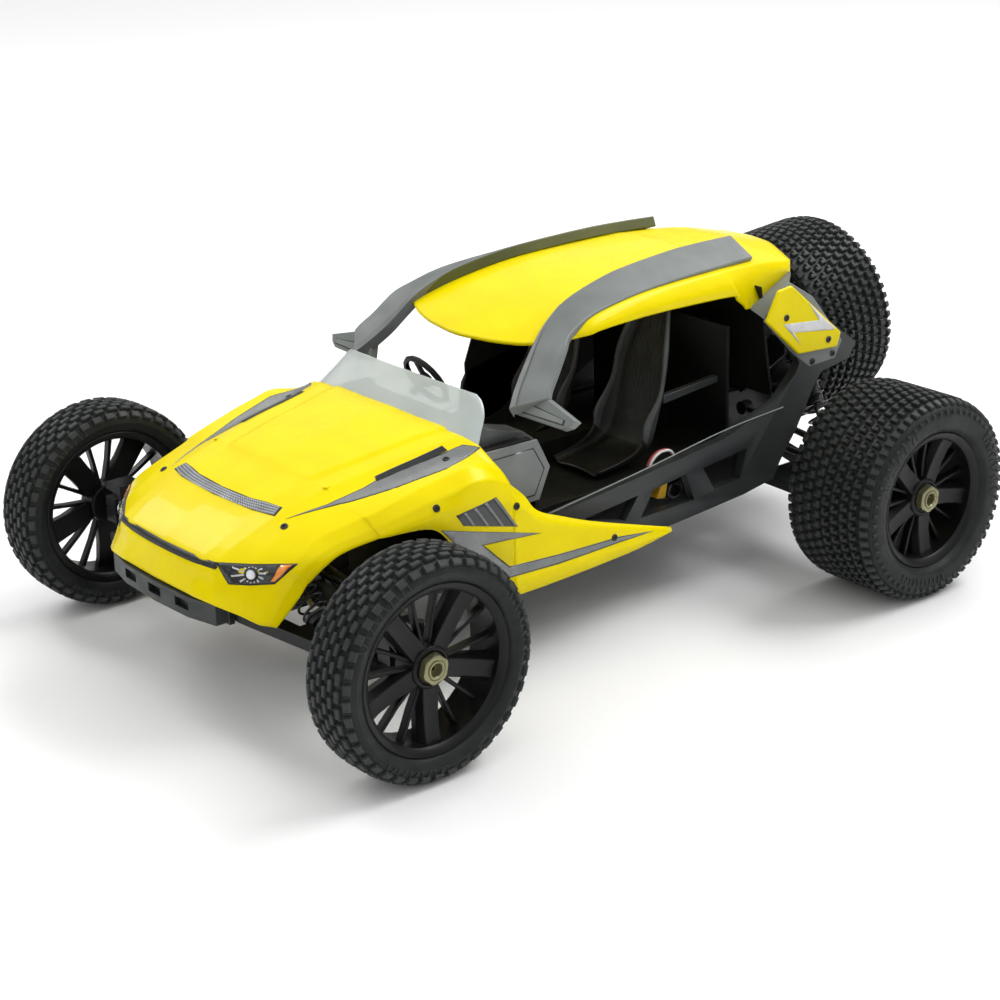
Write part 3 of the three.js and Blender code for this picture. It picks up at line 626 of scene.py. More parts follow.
def skin(name, grid, mat, thickness, body, inward=True):
    bm = bmesh.new()
    made = [[bm.verts.new(at(*p)) for p in row] for row in grid]
    for a, b in zip(made, made[1:]):
        for k in range(len(a) - 1):
            bm.faces.new((a[k], a[k + 1], b[k + 1], b[k]))
    mesh = bpy.data.meshes.new(name)
    bm.to_mesh(mesh)
    bm.free()
    obj = adopt(name, mesh, mat, body)
    solid = obj.modifiers.new("sheet", "SOLIDIFY")
    solid.thickness = thickness / 1000
    solid.offset = -1 if inward else 1
    return obj


# Columns: centre, pad edge, pad foot, ridge, valley, fender crest, fender edge, side, lower edge.
HOOD_ROWS = [
    [(0, -277, 89), (38, -276, 89), (42, -276, 89), (60, -273, 88), (76, -265, 84), (86, -258, 79),
     (89, -254, 78), (90.5, -251, 77), (91, -249, 76)],
    [(0, -274, 100), (38, -272.5, 99.5), (42, -272, 99.5), (56, -269, 99), (73, -261, 96), (87, -251, 92),
     (91, -247, 90), (93, -243, 87), (93.5, -241, 85)],
    [(0, -272, 107.5), (38, -270.5, 107), (42, -270.5, 107), (54, -268, 107), (73, -257, 106),
     (90, -244, 104), (94, -240, 101), (96, -236, 97), (97, -234, 95)],
    [(0, -269.3, 110), (38, -268, 109.8), (42, -268, 109.8), (54, -265.6, 109.6), (74, -257, 109),
     (92, -241, 109), (96, -237, 107), (98, -233, 103), (99, -231, 101)],
    [(0, -268.3, 113), (38, -267, 112.8), (42, -266.8, 112.8), (54, -264.4, 112.6), (74, -253, 112.5),
     (94, -238, 112.5), (98, -234, 110), (100, -230, 106), (100.5, -228, 104)],
    [(0, -250, 124), (40, -248, 123.5), (44, -248, 123.5), (55, -246, 122.5), (74, -241, 120.5),
     (95, -230, 119), (100, -226, 116.5), (102.5, -222, 113), (103, -220, 111)],
    [(0, -222, 136), (42, -221, 135.5), (45, -221, 135), (58, -220, 133.5), (74, -222, 129),
     (93, -216, 126), (101, -211, 122), (104, -208, 119), (104.5, -207, 117)],
    [(0, -194, 142.8), (41, -194, 142.2), (47, -192, 142.2), (62, -190, 142), (77, -192, 136.5),
     (98, -190, 132.5), (106, -188, 127), (109, -186, 123.5), (109.5, -186, 121.5)],
    [(0, -184, 145.8), (43, -184, 145.3), (49, -184, 143.7), (63, -184, 143.2), (78, -185, 137.5),
     (101, -183, 134.5), (108, -182, 128.5), (111, -181, 124.5), (111.5, -181, 122)],
    [(0, -148, 153), (50, -148, 151.7), (54, -148, 149.8), (68, -148, 149.3), (84, -148, 143.5),
     (104, -150, 143), (114, -150, 136.5), (117.5, -150, 130), (118.5, -150, 121)],
    [(0, -131, 155.5), (52, -130, 154.2), (56, -130, 152.4), (70, -129, 151.9), (86, -128, 146.5),
     (106, -130, 147), (117, -131, 140), (119.3, -132, 130), (119.6, -133, 104)],
    [(0, -118, 157.5), (54, -116, 156.3), (58, -116, 154.6), (72, -114, 154), (88, -112, 149),
     (108, -114, 149.5), (118, -117, 143), (119.8, -118, 130), (120, -118, 84)],
    [(0, -106, 158.8), (56, -105, 157.8), (60, -105, 156), (74, -103, 155.6), (90, -101, 151.5),
     (110, -101, 146.5), (117.5, -102, 141.5), (119.8, -102, 128), (120, -101, 64)],
    [(0, -92, 160), (58, -92, 159), (62, -92, 157.4), (76, -92, 157), (91, -90, 154), (110, -86, 139.5),
     (116, -86, 134.5), (119.5, -86, 122), (120, -86, 60)],
]
SKIRT_ROWS = [
    [(116, -87, 134.5), (119.5, -87, 122), (120, -87, 71), (121.5, -87, 60)],
    [(117.5, -76, 124), (119.6, -76, 114), (120, -76, 71), (121.5, -76, 60)],
    [(118, -66, 111.5), (119.6, -66, 104), (120, -66, 71), (121.5, -66, 60)],
    [(118, -44, 101.5), (119.6, -44, 95), (120, -44, 71), (121.5, -44, 60.5)],
    [(118, -20, 92), (119.6, -20, 87), (120, -20, 70), (121, -20, 61)],
    [(117, 20, 78.5), (118.4, 20, 75), (118.8, 20, 68), (119, 20, 62)],
    [(115, 53, 67.5), (115.6, 53, 66.6), (115.8, 53, 65.5), (116, 53, 64.5)],
]
ROOF_ROWS = [
    [(0, -38, 197.5), (35, -33, 198.5), (58, -25, 199.5), (76, -14, 203), (84, -5, 206)],
    [(0, -20, 205), (35, -16, 205.5), (56, -10, 206), (80, 2, 210.5), (89, 6, 207)],
    [(0, 10, 214.5), (35, 12, 214.5), (53, 14, 214.5), (81, 17, 215), (90, 16, 208.5)],
    [(0, 50, 223), (35, 50, 222.5), (51, 50, 221.5), (79, 50, 218.5), (89, 48, 209)],
    [(0, 90, 227), (34, 90, 226), (47, 90, 224), (76, 90, 219.5), (87, 84, 208)],
    [(0, 140, 228), (31, 140, 227), (43, 140, 225), (71, 140, 218.5), (84, 141, 204.6)],
    [(0, 152, 227.6), (30, 151, 226.7), (41.8, 150, 224.6), (70, 148, 218.2), (83.5, 146, 200.6)],
    [(0, 172, 226.5), (28, 170, 225.6), (40, 167, 223.6), (68.5, 163, 217.3), (82.6, 152.4, 195.6)],
    [(0, 190, 225), (26, 188, 224.4), (38.4, 184, 222.4), (67, 178, 216.5), (82, 157.6, 191.4)],
    [(0, 205, 222.6), (25.7, 203, 222), (38.7, 199, 220.4), (66, 191, 215.2), (78.6, 170.6, 194.2)],
    [(0, 238, 215), (25, 235, 214.5), (40, 228, 213.5), (63, 217, 211.5), (68, 212, 203)],
]
ROOF_CORNERS = (1.6, 9, 9, 12, 9, 9, 1.6)
SCREEN_ROWS = [
    [(0, -98, 154.5), (30, -98, 154), (59, -97, 153), (80, -95, 151.5), (90, -91, 150)],
    [(0, -91, 163), (29, -91, 162.5), (56, -90, 161.5), (76, -88, 160), (85, -84, 158.5)],
    [(0, -83, 172), (28, -83, 171.5), (54, -82, 171), (72, -80, 169.5), (79.5, -76, 168)],
    [(0, -78.5, 178), (26, -78.5, 178), (49, -77.5, 177.5), (66, -76, 177), (73.5, -73, 175)],
    [(0, -77, 180.3), (26, -77, 180.3), (46, -76, 180), (60, -75, 179.6), (68, -72.5, 178.4)],
]
# Inner and outer edge of the rail, from the tail of the roof to the foot of the pillar.
RAIL_STEPS, PILLAR_START, TRIM_START = 60, 40, 32
RAIL = [((39.5, 181, 231.8), (63, 180, 220.5)), ((41.5, 150, 233), (67, 150, 221.5)),
        ((43.6, 119, 233.4), (70, 119, 222)), ((47.7, 75, 231.6), (74, 75, 221.5)),
        ((51.2, 48, 229.1), (77, 47, 220)), ((56.5, 14.4, 222.6), (81, 15, 216.5)),
        ((61.4, -4.7, 215), (86, -8, 209.5)), ((66.6, -20.4, 205.2), (92, -19, 203)),
        ((73, -38, 188.5), (98, -32, 190)), ((79, -50, 178), (102, -40, 183)),
        ((85, -59, 170), (105, -43.5, 178))]
FOOT = [(76.1, -52.3, 166.6), (80.2, -47.5, 175), (102.9, -43.5, 177.7), (131.5, -44.5, 169.7),
        (128, -47.2, 165.2), (122.4, -49.1, 162.7), (77.4, -53.5, 164.1)]
FOOT_RECESS = [(83.8, -48, 173.2), (123.4, -46.1, 168.3), (123.6, -47.8, 165), (84.2, -51.8, 165.9)]
PLATE_FACE = 100.3
BACKING_FACE = 97.2
REAR_PLATE = [(156.5, 185.6), (168, 205.4), (181, 207), (231.6, 163.3), (228, 153.3), (189, 155.8)]


def make_shells():
    hood = skin("hood_panel", sheet_points(full_width(HOOD_ROWS), 6, 1.6), YELLOW, SHEET, "chassis")
    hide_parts("hood_shell")
    roof_grid = sheet_points(full_width(ROOF_ROWS), 8, ROOF_CORNERS)
    roof = skin("roof_panel", roof_grid, YELLOW, SHEET, "chassis")
    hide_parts("roof_shell")
    screen = skin("windscreen_sheet", sheet_points(full_width(SCREEN_ROWS), 6, 8.0), CLEAR, 1.2,
                  "chassis")
    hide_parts("windscreen")
    skirts, plates = {}, {}
    for side, sign in SIDES:
        grid = sheet_points([mirrored(row, sign) for row in SKIRT_ROWS], 5, 1.2)
        skirt = skirts[side] = skin(f"skirt_{side}", grid, YELLOW, SHEET, "chassis", inward=sign > 0)
        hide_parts("hood_shell")
        plate = plates[side] = slab(f"rear_plate_panel_{side}", REAR_PLATE, 97.3, PLATE_FACE, YELLOW,
                                    1.2, sign, 3)
        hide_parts(f"rear_plate_{side}")
        make_rail(side, sign)
        make_rear_bracket(side, sign)
    return hood, skirts, plates


def make_rear_bracket(side, sign):
    """The grey plate under the yellow one, and the strip from it up to the roof."""
    backing = [(158, 185), (190, 153), (203, 143), (229, 144), (236, 156), (205, 194), (182, 208.5)]
    shade_cabin_faces(slab(f"rear_backing_{side}", backing, 94.6, BACKING_FACE, GREY, 0.8, sign), sign)
    low = [(81, 159.5, 190.4), (95.5, 159, 186), (95.5, 183, 208.5), (68, 213, 203.5)]
    high = [(80.2, 161.2, 192.4), (94.8, 160.6, 188), (94.8, 182.4, 206), (67.6, 211, 205.4)]
    strip = lofted(f"rear_strip_{side}", [in_frame(row, sign) for row in (low, high)], GREY)
    shade_cabin_faces(strip, sign)
    rounded(strip, 0.4)


def shade_cabin_faces(panel, sign):
    """Black on the faces that look into the cabin, as painted shade."""
    panel.data.materials.append(BLACK)
    for face in panel.data.polygons:
        if face.normal.x * sign < -0.3:
            face.material_index = 1


def make_rail(side, sign):
    """A roof rail that runs down as the front pillar, with its foot."""
    inner = smooth_line([a for a, b in RAIL], RAIL_STEPS)
    outer = smooth_line([b for a, b in RAIL], RAIL_STEPS)
    rings = []
    for k, (a, b) in enumerate(zip(inner, outer)):
        before, after = inner[max(k - 1, 0)], inner[min(k + 1, RAIL_STEPS)]
        down = (before - after).cross(b - a).normalized()
        down = down if down.z < 0 or k > PILLAR_START else -down
        if down.dot(Vector((0, -0.3, -1))) < 0 and k <= PILLAR_START:
            down = -down
        rings.append(in_frame([a, a.lerp(b, 0.06), b, b + down * 5, a + down * 8], sign))
    rail = lofted(f"rail_blade_{side}", rings, GREY)
    # Painted reflection: the grey rail's inner faces take olive for the yellow roof seen in them.
    rail.data.materials.append(OLIVE_ROOF_REFLECTION)
    for face in rail.data.polygons:
        if face.normal.x * sign < -0.6:
            face.material_index = 1
    rounded(rail, 0.9, 2, 35)
    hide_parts(f"roof_rail_{side}")
    # The pillar's bevel as a strip, in a lighter grey that also paints its highlight.
    rings = []
    for k in range(TRIM_START, RAIL_STEPS + 1):
        a, grow = inner[k], min((k - TRIM_START) / 16, 1)
        across = (outer[k] - a).normalized()
        back = Vector((0, 0.5, -0.85))
        near, far = a + (across - back * 0.25) * -1.2 * grow, a + (across * 3 - back) * grow + across * 0.5
        rings.append(in_frame([near, far, far + back * 2, near + back * 8], sign))
    trim = rounded(lofted(f"rail_bevel_and_highlight_{side}", rings, PANEL_GREY), 0.5, 2, 35)
    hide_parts(f"roof_rail_{side}")
    foot = facet(f"rail_foot_{side}", FOOT, sign, -7, 0, GREY, 0.8)
    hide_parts(f"roof_rail_{side}")
    # Painted shade: a dark sheet in the recess, showing as a rim round the foot's inset.
    facet(f"foot_groove_shade_{side}", FOOT_RECESS, sign, -1, 0.35, DECAL_DARK, 0.1)
    middle = sum((Vector(p) for p in FOOT_RECESS), Vector()) / 4
    inset = [middle + (Vector(p) - middle) * Vector((0.94, 0.8, 0.72)) for p in FOOT_RECESS]
    facet(f"foot_recess_{side}", inset, sign, -1, 0.7, GREY, 0.3)


def facet(name, outline, sign, low, high, mat, width):
    """A plate on the sloping end face of the pillar foot, between two heights above that face."""
    out = Vector((0.1, -0.88, 0.46))
    rings = [in_frame([Vector(p) + out * lift for p in outline], sign) for lift in (low, high)]
    return rounded(lofted(name, rings, mat), width)


# ---- cockpit ----
SEAT_X = 45
SEAT_STEPS, SEAT_HALF = 70, 30
SHADED_CUSHION_ROWS, HIGHLIGHT_COLUMNS = 27, 4
BACK_ROW, FOLD_ROWS = 36, (43, 47)


def seat_grid():
    """The left seat as a moulded shell: a spine from the cushion up the back, with wings and channels."""
    spine = smooth_line([(30, 96, 0), (50, 98, 0), (67, 101, 0), (78, 108, 0), (84, 121, 0), (90, 142, 0),
                         (97, 168, 0), (106, 197, 0)], SEAT_STEPS)
    wings = smooth_line([(4, 22, 0), (5, 23, 0), (8, 24, 0), (12, 24.5, 0), (14, 24.5, 0), (6, 24, 0),
                         (7, 22, 0), (5, 14, 0)], SEAT_STEPS)
    rows = []
    for k, (p, wing) in enumerate(zip(spine, wings)):
        ahead, behind = spine[min(k + 1, SEAT_STEPS)], spine[max(k - 1, 0)]
        along = (ahead - behind).normalized()
        normal = Vector((-along.y, along.x, 0))
        depth, half = wing.x, wing.y
        back = min(max((k - BACK_ROW) / 10, 0), 1)
        fold = sum(0.7 * math.exp(-((k - line) / 1.1) ** 2) for line in FOLD_ROWS)
        row = []
        for j in range(-SEAT_HALF, SEAT_HALF + 1):
            u = j / SEAT_HALF
            across = abs(u)
            if across < 0.72:
                lift = 1.6 * (1 - (across / 0.72) ** 2) + back * 0.45 * math.cos(u * half / 1.6 * math.pi)
                row.append((u / 0.72 * (half - 5), p + normal * (lift - fold)))
            elif across < 0.93:
                t = (across - 0.72) / 0.21
                row.append((math.copysign(half - 5 + 5 * math.sin(t * math.pi / 2), u),
                            p + normal * depth * (1 - math.cos(t * math.pi / 2))))
            else:
                t = (across - 0.93) / 0.07
                row.append((math.copysign(half + 1.8 * t, u), p + normal * (depth - 0.6 * t)))
        rows.append([(SEAT_X + x, q.x, q.y) for x, q in row])
    return rows


def make_seats():
    grid = seat_grid()
    for side, sign in SIDES:
        rows = [mirrored(row, sign) for row in grid]
        seat = skin(f"seat_shell_{side}", rows, SEAT, 1.6, "chassis", inward=sign > 0)
        # Painted highlight: the wing edges of the seat back get the paler grey.
        for mat in (SEAT_HIGHLIGHT_AND_DASH_GREY, TRAY_AND_SHADE):
            seat.data.materials.append(mat)
        # Painted shade: the cushion gets the darker tray plastic.
        for face in seat.data.polygons:
            row, column = divmod(face.index, 2 * SEAT_HALF)
            if row < SHADED_CUSHION_ROWS:
                face.material_index = 2
            elif not HIGHLIGHT_COLUMNS <= column < 2 * SEAT_HALF - HIGHLIGHT_COLUMNS:
                face.material_index = 1
        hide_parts(f"seat_{side}")


def make_cockpit():
    make_seats()
    make_cabin()
    finished("interior_tray", TRAY_AND_SHADE, 0.8)
    finished("steering_wheel", BLACK, 0.5)
    kick = [(-84, 104), (-40, 104), (-30.5, 125), (-41, 146), (-84, 147)]
    groove = [(-79, 108), (-44, 108), (-35.5, 125), (-44.5, 141), (-79, 141)]
    recess = [(-78, 109), (-44.6, 109), (-36.6, 125), (-45, 140), (-78, 140)]
    for side, sign in SIDES:
        slab(f"kick_panel_{side}", kick, 88.1, 89.6, PANEL_GREY, 0.6, sign)
        # Painted shade: a dark sheet in the groove round the panel's inset.
        slab(f"kick_panel_groove_shade_{side}", groove, 89.0, 89.8, DECAL_DARK, 0, sign)
        slab(f"kick_panel_inset_{side}", recess, 89.0, 90.3, PANEL_GREY, 0.35, sign)


def make_cabin():
    """Dark sheets as painted shade in the cabin, the brace behind the left seat, what shows through the
    side frame, and grey lines painted as the side frames' edge highlight.
    """
    # Painted shade: near-black sheets set where the cabin lies in shade.
    slab("right_shade_sheet", [(40, 93), (38, 140), (58, 190), (80, 205), (150, 202), (166, 186), (186, 153),
                         (168, 120), (120, 97)], -86.5, -85, TRAY_AND_SHADE)
    slab("rear_shade_sheet", [(182, 122), (184, 122), (172, 204), (170, 204)], -80, 80, TRAY_AND_SHADE)
    slab("dash_end", [(-84, 138), (-84, 152), (-74, 158), (-45, 150), (-31, 139)], 62, 80, SEAT_HIGHLIGHT_AND_DASH_GREY)
    slab("brace", [(96, 131.5), (148, 136), (148, 141), (96, 137.5)], 57, 62, CHARCOAL)
    for side, sign in SIDES:
        low, high = sorted((72 * sign, 73.5 * sign))
        slab(f"side_shade_sheet_{side}", [(-20, 54), (-20, 88), (170, 88), (170, 54)], low, high, TRAY_AND_SHADE)
    slab("connector", [(70, 74), (78, 72.5), (80.5, 84), (75.5, 85.5)], 74, 83, CONNECTOR, 1.0)
    end_cap = [(0, 7), (5, 7), (6, 6.4), (6.4, 5), (5.6, 2.4), (6.4, 2.2)]
    turned_piece("motor_end", at(73, 91, 75), at(80, 91, 75), end_cap, 28, MOTOR_CAN, "chassis")
    lead = [(58, 92), (61, 102), (66.6, 107.5), (73.2, 109), (80.8, 106.5), (86, 94)]
    for name, mat, x in (("red_wire", RED_WIRE, 84), ("white_wire", WHITE_WIRE, 84 + 2.1)):
        curved_rod(name, [(x, y, z) for y, z in lead], 0.001, 10, mat)
    # Painted highlight: a thin grey line along the top edge of each side frame.
    for side, sign in SIDES:
        line = [(97.3, -41, 96), (97.3, 43, 105.4), (97.3, 119, 115.5), (97.3, 177, 119.3)]
        curved_rod(f"frame_highlight_line_{side}", mirrored(line, sign), 0.0005, 8, GREY)


# ---- running gear ----
FRONT = {"y": -AXLE, "top": (50, 113), "low": (106, 70), "shock_y": -222, "length": 38,
         "shaft": ((30.5, 79.7), (137, 72.8))}
REAR = {"y": AXLE, "top": (58, 150), "low": (104, 67), "shock_y": 226, "length": 50,
        "shaft": ((29, 75.7), (113, 72))}


def turned_along(bm, start, stop, profile, steps):
    """Turns a (distance, radius) outline about the line from start to stop, given in metres."""
    along = (stop - start).normalized()
    side = along.orthogonal().normalized()
    other = along.cross(side)
    rings = []
    for d, r in profile:
        centre = start + along * d / 1000
        rings.append([bm.verts.new(centre + (side * math.cos(a) + other * math.sin(a)) * r / 1000)
                      for a in (2 * math.pi * k / steps for k in range(steps))])
    closed_solid(bm, rings)


def turned_piece(name, start, stop, profile, steps, mat, body, angle=30):
    """One piece from one turned outline, with its sharp edges marked."""
    bm = bmesh.new()
    turned_along(bm, start, stop, profile, steps)
    edges_by_angle(from_bmesh(name, bm, mat, body), angle)


def make_shock(corner, sign, end):
    y = end["shock_y"]
    top = at(sign * end["top"][0], y, end["top"][1])
    low = at(sign * end["low"][0], y, end["low"][1])
    along = (low - top).normalized()
    total = (low - top).length * 1000
    length = end["length"]
    bm = bmesh.new()
    threads = [(18 + k * 1.2 + d,
                7.4 - 0.35 * (d > 0.3)) for k in range(int((length - 20) / 1.2)) for d in (0, 0.6)]
    turned_along(bm, top, low, [(2, 3), (3, 6), (4, 7.2), (9.5, 7.2), (9.8, 9.4), (13.5, 9.4), (14, 7.4),
                                *threads, (length - 1, 7.4), (length, 6.4), (length, 2.4)], 28)
    across = Y * 4.2 / 1000
    turned_along(bm, top - across, top + across, [(0, 3.2), (0.6, 4.2), (7.8, 4.2), (8.4, 3.2)], 20)
    body = from_bmesh(f"shock_cylinder_{corner}", bm, BLACK, f"shock_{corner}")
    edges_by_angle(body, 30)
    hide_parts(f"shock_body_{corner}")
    bm = bmesh.new()
    turned_along(bm, top, low, [(length - 9, 1.8), (total - 3, 1.8), (total - 2.5, 1.2)], 16)
    rod = from_bmesh(f"shock_shaft_{corner}", bm, STEEL, f"shock_rod_{corner}")
    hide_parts(f"shock_rod_{corner}")
    bm = bmesh.new()
    turned_along(bm, top, low, [(total - 14, 4), (total - 13.6, 8.9), (total - 12, 9), (total - 11.5, 7),
                                (total - 9, 6), (total - 8.6, 3), (total - 4, 3), (total - 3.5, 2)], 24)
    turned_along(bm, low - across, low + across, [(0, 2.8), (0.6, 3.7), (7.8, 3.7), (8.4, 2.8)], 20)
    seat = from_bmesh(f"spring_seat_{corner}", bm, BLACK, f"shock_rod_{corner}")
    edges_by_angle(seat, 30)
    start, stop = 14.6, total - 14.4
    side = along.orthogonal().normalized()
    other = along.cross(side)
    path = []
    turns, steps = 6.5 if length < 45 else 8.5, 22
    for k in range(int(turns * steps) + 1):
        t = k / (turns * steps)
        a = 2 * math.pi * turns * t
        path.append(top + along * (start + (stop - start) * t) / 1000
                    + (side * math.cos(a) + other * math.sin(a)) * 8.6 / 1000)
    bm = bmesh.new()
    tube(bm, path, 0.00085, 8)
    spring = from_bmesh(f"spring_{corner}", bm, SPRING, f"shock_{corner}")
    spring.parent = None
    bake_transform(spring)


def make_running_gear():
    for side, sign in SIDES:
        for end_name, end in (("front", FRONT), ("rear", REAR)):
            corner = f"{end_name}_{side}"
            finished(f"lower_arm_{corner}", BLACK, 0.8)
            finished(f"upper_link_{corner}", DARK_STEEL, 0.3)
            finished(f"hub_carrier_{corner}", BLACK, 0.6)
            make_shock(corner, sign, end)
            (x0, z0), (x1, z1) = end["shaft"]
            start, stop = at(sign * x0, end["y"], z0), at(sign * x1, end["y"], z1)
            span = (stop - start).length * 1000
            profile = [(0, 3), (1, 5), (9, 5), (10, 3), (12, 2.2), (span - 12, 2.2),
                       (span - 10, 3), (span - 9, 4.6), (span - 1, 4.6), (span, 3)]
            turned_piece(f"drive_shaft_{corner}", start, stop, profile, 20, DARK_STEEL, f"arm_{corner}")
        finished(f"steering_knuckle_{side}", BLACK, 0.6)
        finished(f"tie_rod_{side}", DARK_STEEL, 0.3)
    finished("steering_link", BLACK, 0.6)
    finished("steering_servo", BLACK, 0.8)
    finished("front_gearbox", BLACK, 0.8)
    finished("rear_gearbox", BLACK, 0.8)
    finished("chassis_plate", CHARCOAL, 0.8)
    finished("battery_pack", WRAP, 2.5)
    finished("motor", MOTOR_CAN, 0.8)
    finished("front_bumper", CHARCOAL, 1.2)
    for side, sign in SIDES:
        finished(f"side_frame_{side}", CHARCOAL, 1.3)


# ---- printed and fitted details of the shells ----
def surface_of(*shells):
    """The outer faces of some shells, as one tree to lay details on."""
    points, faces = [], []
    for shell in shells:
        base = len(points)
        points += [v.co.copy() for v in shell.data.vertices]
        faces += [[base + i for i in face.vertices] for face in shell.data.polygons]
    return BVHTree.FromPolygons(points, faces)


def laid(tree, point, out, lift):
    """The point of the surface nearest to a point, lifted off it along out by millimetres."""
    place, normal = tree.find_nearest(point)[:2]
    return place + (normal if normal.dot(out) > 0 else -normal) * lift / 1000


def outset(outline, width):
    """A polygon grown by a width in its own plane."""
    pairs = list(zip(outline, outline[1:] + outline[:1]))
    normal = sum((a.cross(b) for a, b in pairs), Vector()).normalized()
    grown = []
    for k, b in enumerate(outline):
        a, c = outline[k - 1], outline[(k + 1) % len(outline)]
        before, after = (b - a).normalized().cross(normal), (c - b).normalized().cross(normal)
        middle = (before + after).normalized()
        grown.append(b + middle * width / max(0.45, middle.dot(before)))
    return grown


def applied(name, outline, tree, out, mat, lift, step=3.0, margin=0.0):
    """A thin film of an outline in drawing millimetres, laid on a surface."""
    points = [at(*p) * 1000 for p in outline]
    if margin:
        points = outset(points, margin)
    bm = bmesh.new()
    corners = [bm.verts.new(p / 1000) for p in points]
    for triangle in tessellate_polygon([points]):
        bm.faces.new([corners[k] for k in triangle])
    bmesh.ops.recalc_face_normals(bm, faces=bm.faces)
    if sum((f.normal * f.calc_area() for f in bm.faces), Vector()).dot(out) < 0:
        bmesh.ops.reverse_faces(bm, faces=bm.faces)
    for axis in (X, Y, Z):
        spread = [p.dot(axis) for p in points]
        for k in range(int(min(spread) / step) - 1, int(max(spread) / step) + 2):
            bmesh.ops.bisect_plane(bm, geom=bm.verts[:] + bm.edges[:] + bm.faces[:], dist=1e-6,
                                   plane_co=axis * k * step / 1000, plane_no=axis)
    for v in bm.verts:
        v.co = laid(tree, v.co, out, lift)
    mesh = bpy.data.meshes.new(name)
    bm.to_mesh(mesh)
    bm.free()
    film = adopt(name, mesh, mat, "chassis")
    body = film.modifiers.new("film", "SOLIDIFY")
    body.thickness = FILM / 1000
    body.offset = -1
    return film


def cells(name, top, bottom, tree, out, mat, count, rows, height):
    """A strip of small raised cells between two edges, laid on a surface."""
    upper = smooth_line([at(*p) * 1000 for p in top], count)
    lower = smooth_line([at(*p) * 1000 for p in bottom], count)
    bm = bmesh.new()
    for i in range(count):
        for j in range(rows):
            def spot(a, b, lift):
                t = (i + a) / count
                k = min(int(t * count), count - 1)
                f = t * count - k
                high, low = upper[k].lerp(upper[k + 1], f), lower[k].lerp(lower[k + 1], f)
                return bm.verts.new(laid(tree, high.lerp(low, (j + b) / rows) / 1000, out, lift))
            base = [spot(a, b, 0.1) for a, b in ((0.06, 0.08), (0.94, 0.08), (0.94, 0.92), (0.06, 0.92))]
            crown = [spot(a, b, height) for a, b in ((0.3, 0.3), (0.7, 0.3), (0.7, 0.7), (0.3, 0.7))]
            bm.faces.new(base[::-1])
            bm.faces.new(crown)
            for k in range(4):
                n = (k + 1) % 4
                bm.faces.new((base[k], base[n], crown[n], crown[k]))
    return from_bmesh(name, bm, mat, "chassis", smooth=False)


def screws(name, places):
    """Button-head screws: a dark steel rim and a black socket at each (point, direction)."""
    rim = [(0, 2.5), (1.3, 2.5), (1.7, 2.2), (1.7, 1.8), (1.4, 1.7), (0, 1.7)]
    socket = [(0, 1.7), (1.6, 1.72), (1.9, 1.2), (1.9, 0.9), (1.3, 0.8)]
    for part, profile, steps, mat in (("rims", rim, 20, DARK_STEEL), ("sockets", socket, 18, BLACK)):
        bm = bmesh.new()
        for place, out in places:
            turned_along(bm, place - out * 0.001, place, profile, steps)
        edges_by_angle(from_bmesh(f"{name}_{part}", bm, mat, "chassis"), 30)


BAR_TOP, BAR_LOW, GRILLE_TOP, GRILLE_LOW = full_width([
    [(0, -223.3, 135.8), (30, -221.5, 135.7), (55.5, -216, 135.5)],
    [(0, -231.3, 132.4), (41, -228.9, 132.4), (58, -224, 132)],
    [(0, -269.6, 112.1), (27, -268.4, 112.1), (54, -265.6, 112.1)],
    [(0, -270.4, 107.9), (34, -269.1, 108.1), (55, -266, 108.6)],
])
HEADLIGHT = [(54.9, -264.9, 111.7), (75, -252, 113.2), (94.8, -235.2, 114.7), (87.3, -246.3, 103.6),
             (76, -256.5, 102.2), (64.2, -263.4, 101.3)]
AMBER_END = [(88.1, -241.1, 113.6), (93.6, -236.2, 114.2), (87.3, -245.6, 104.6), (85.4, -247.2, 104.4)]
LAMP = (76.2, -255.1, 108.2)
HOOD_FLASH = [(65.5, -219.7, 131.8), (74.1, -194.9, 136.7), (76.5, -169.8, 141.5), (76.2, -159, 143.7),
              (79, -135, 147.8), (82.6, -106, 152), (84, -97.5, 153.8), (92, -91.4, 152.8),
              (97.5, -121.7, 148.1), (90, -155, 142.2), (80.7, -182, 137.7)]
MESH_TOP = [(72.9, -158.4, 145.3), (74.6, -133, 149.5), (76, -108.1, 153.9)]
MESH_LOW = [(76.5, -159.6, 143.7), (79, -134, 147.8), (80.9, -108, 152.4)]
VENT = [(119.4, -131.1, 125.2), (119.5, -100.3, 129.2), (121.7, -84.3, 106.3), (119.7, -126.5, 118.1)]
ZED = [(119.2, -142.7, 118.2), (121.7, -65.9, 96.4), (119.9, -113.3, 101.4), (119.9, -91.4, 79.8),
       (121.9, -51, 76.9), (121.3, 2.2, 74.7), (119.5, 33.6, 70.6), (121.4, 2.1, 72.3),
       (122, -51.2, 72.1), (119.9, -92.7, 73.9), (119.9, -97.6, 77.6), (119.7, -128.6, 102.8)]
REAR_ZED = [(197.6, 191.3), (213.9, 176.2), (223.6, 168.7), (223.6, 167.2),
            (182.4, 173.4), (189.8, 163.4), (173.1, 180.6), (208.8, 176.5)]


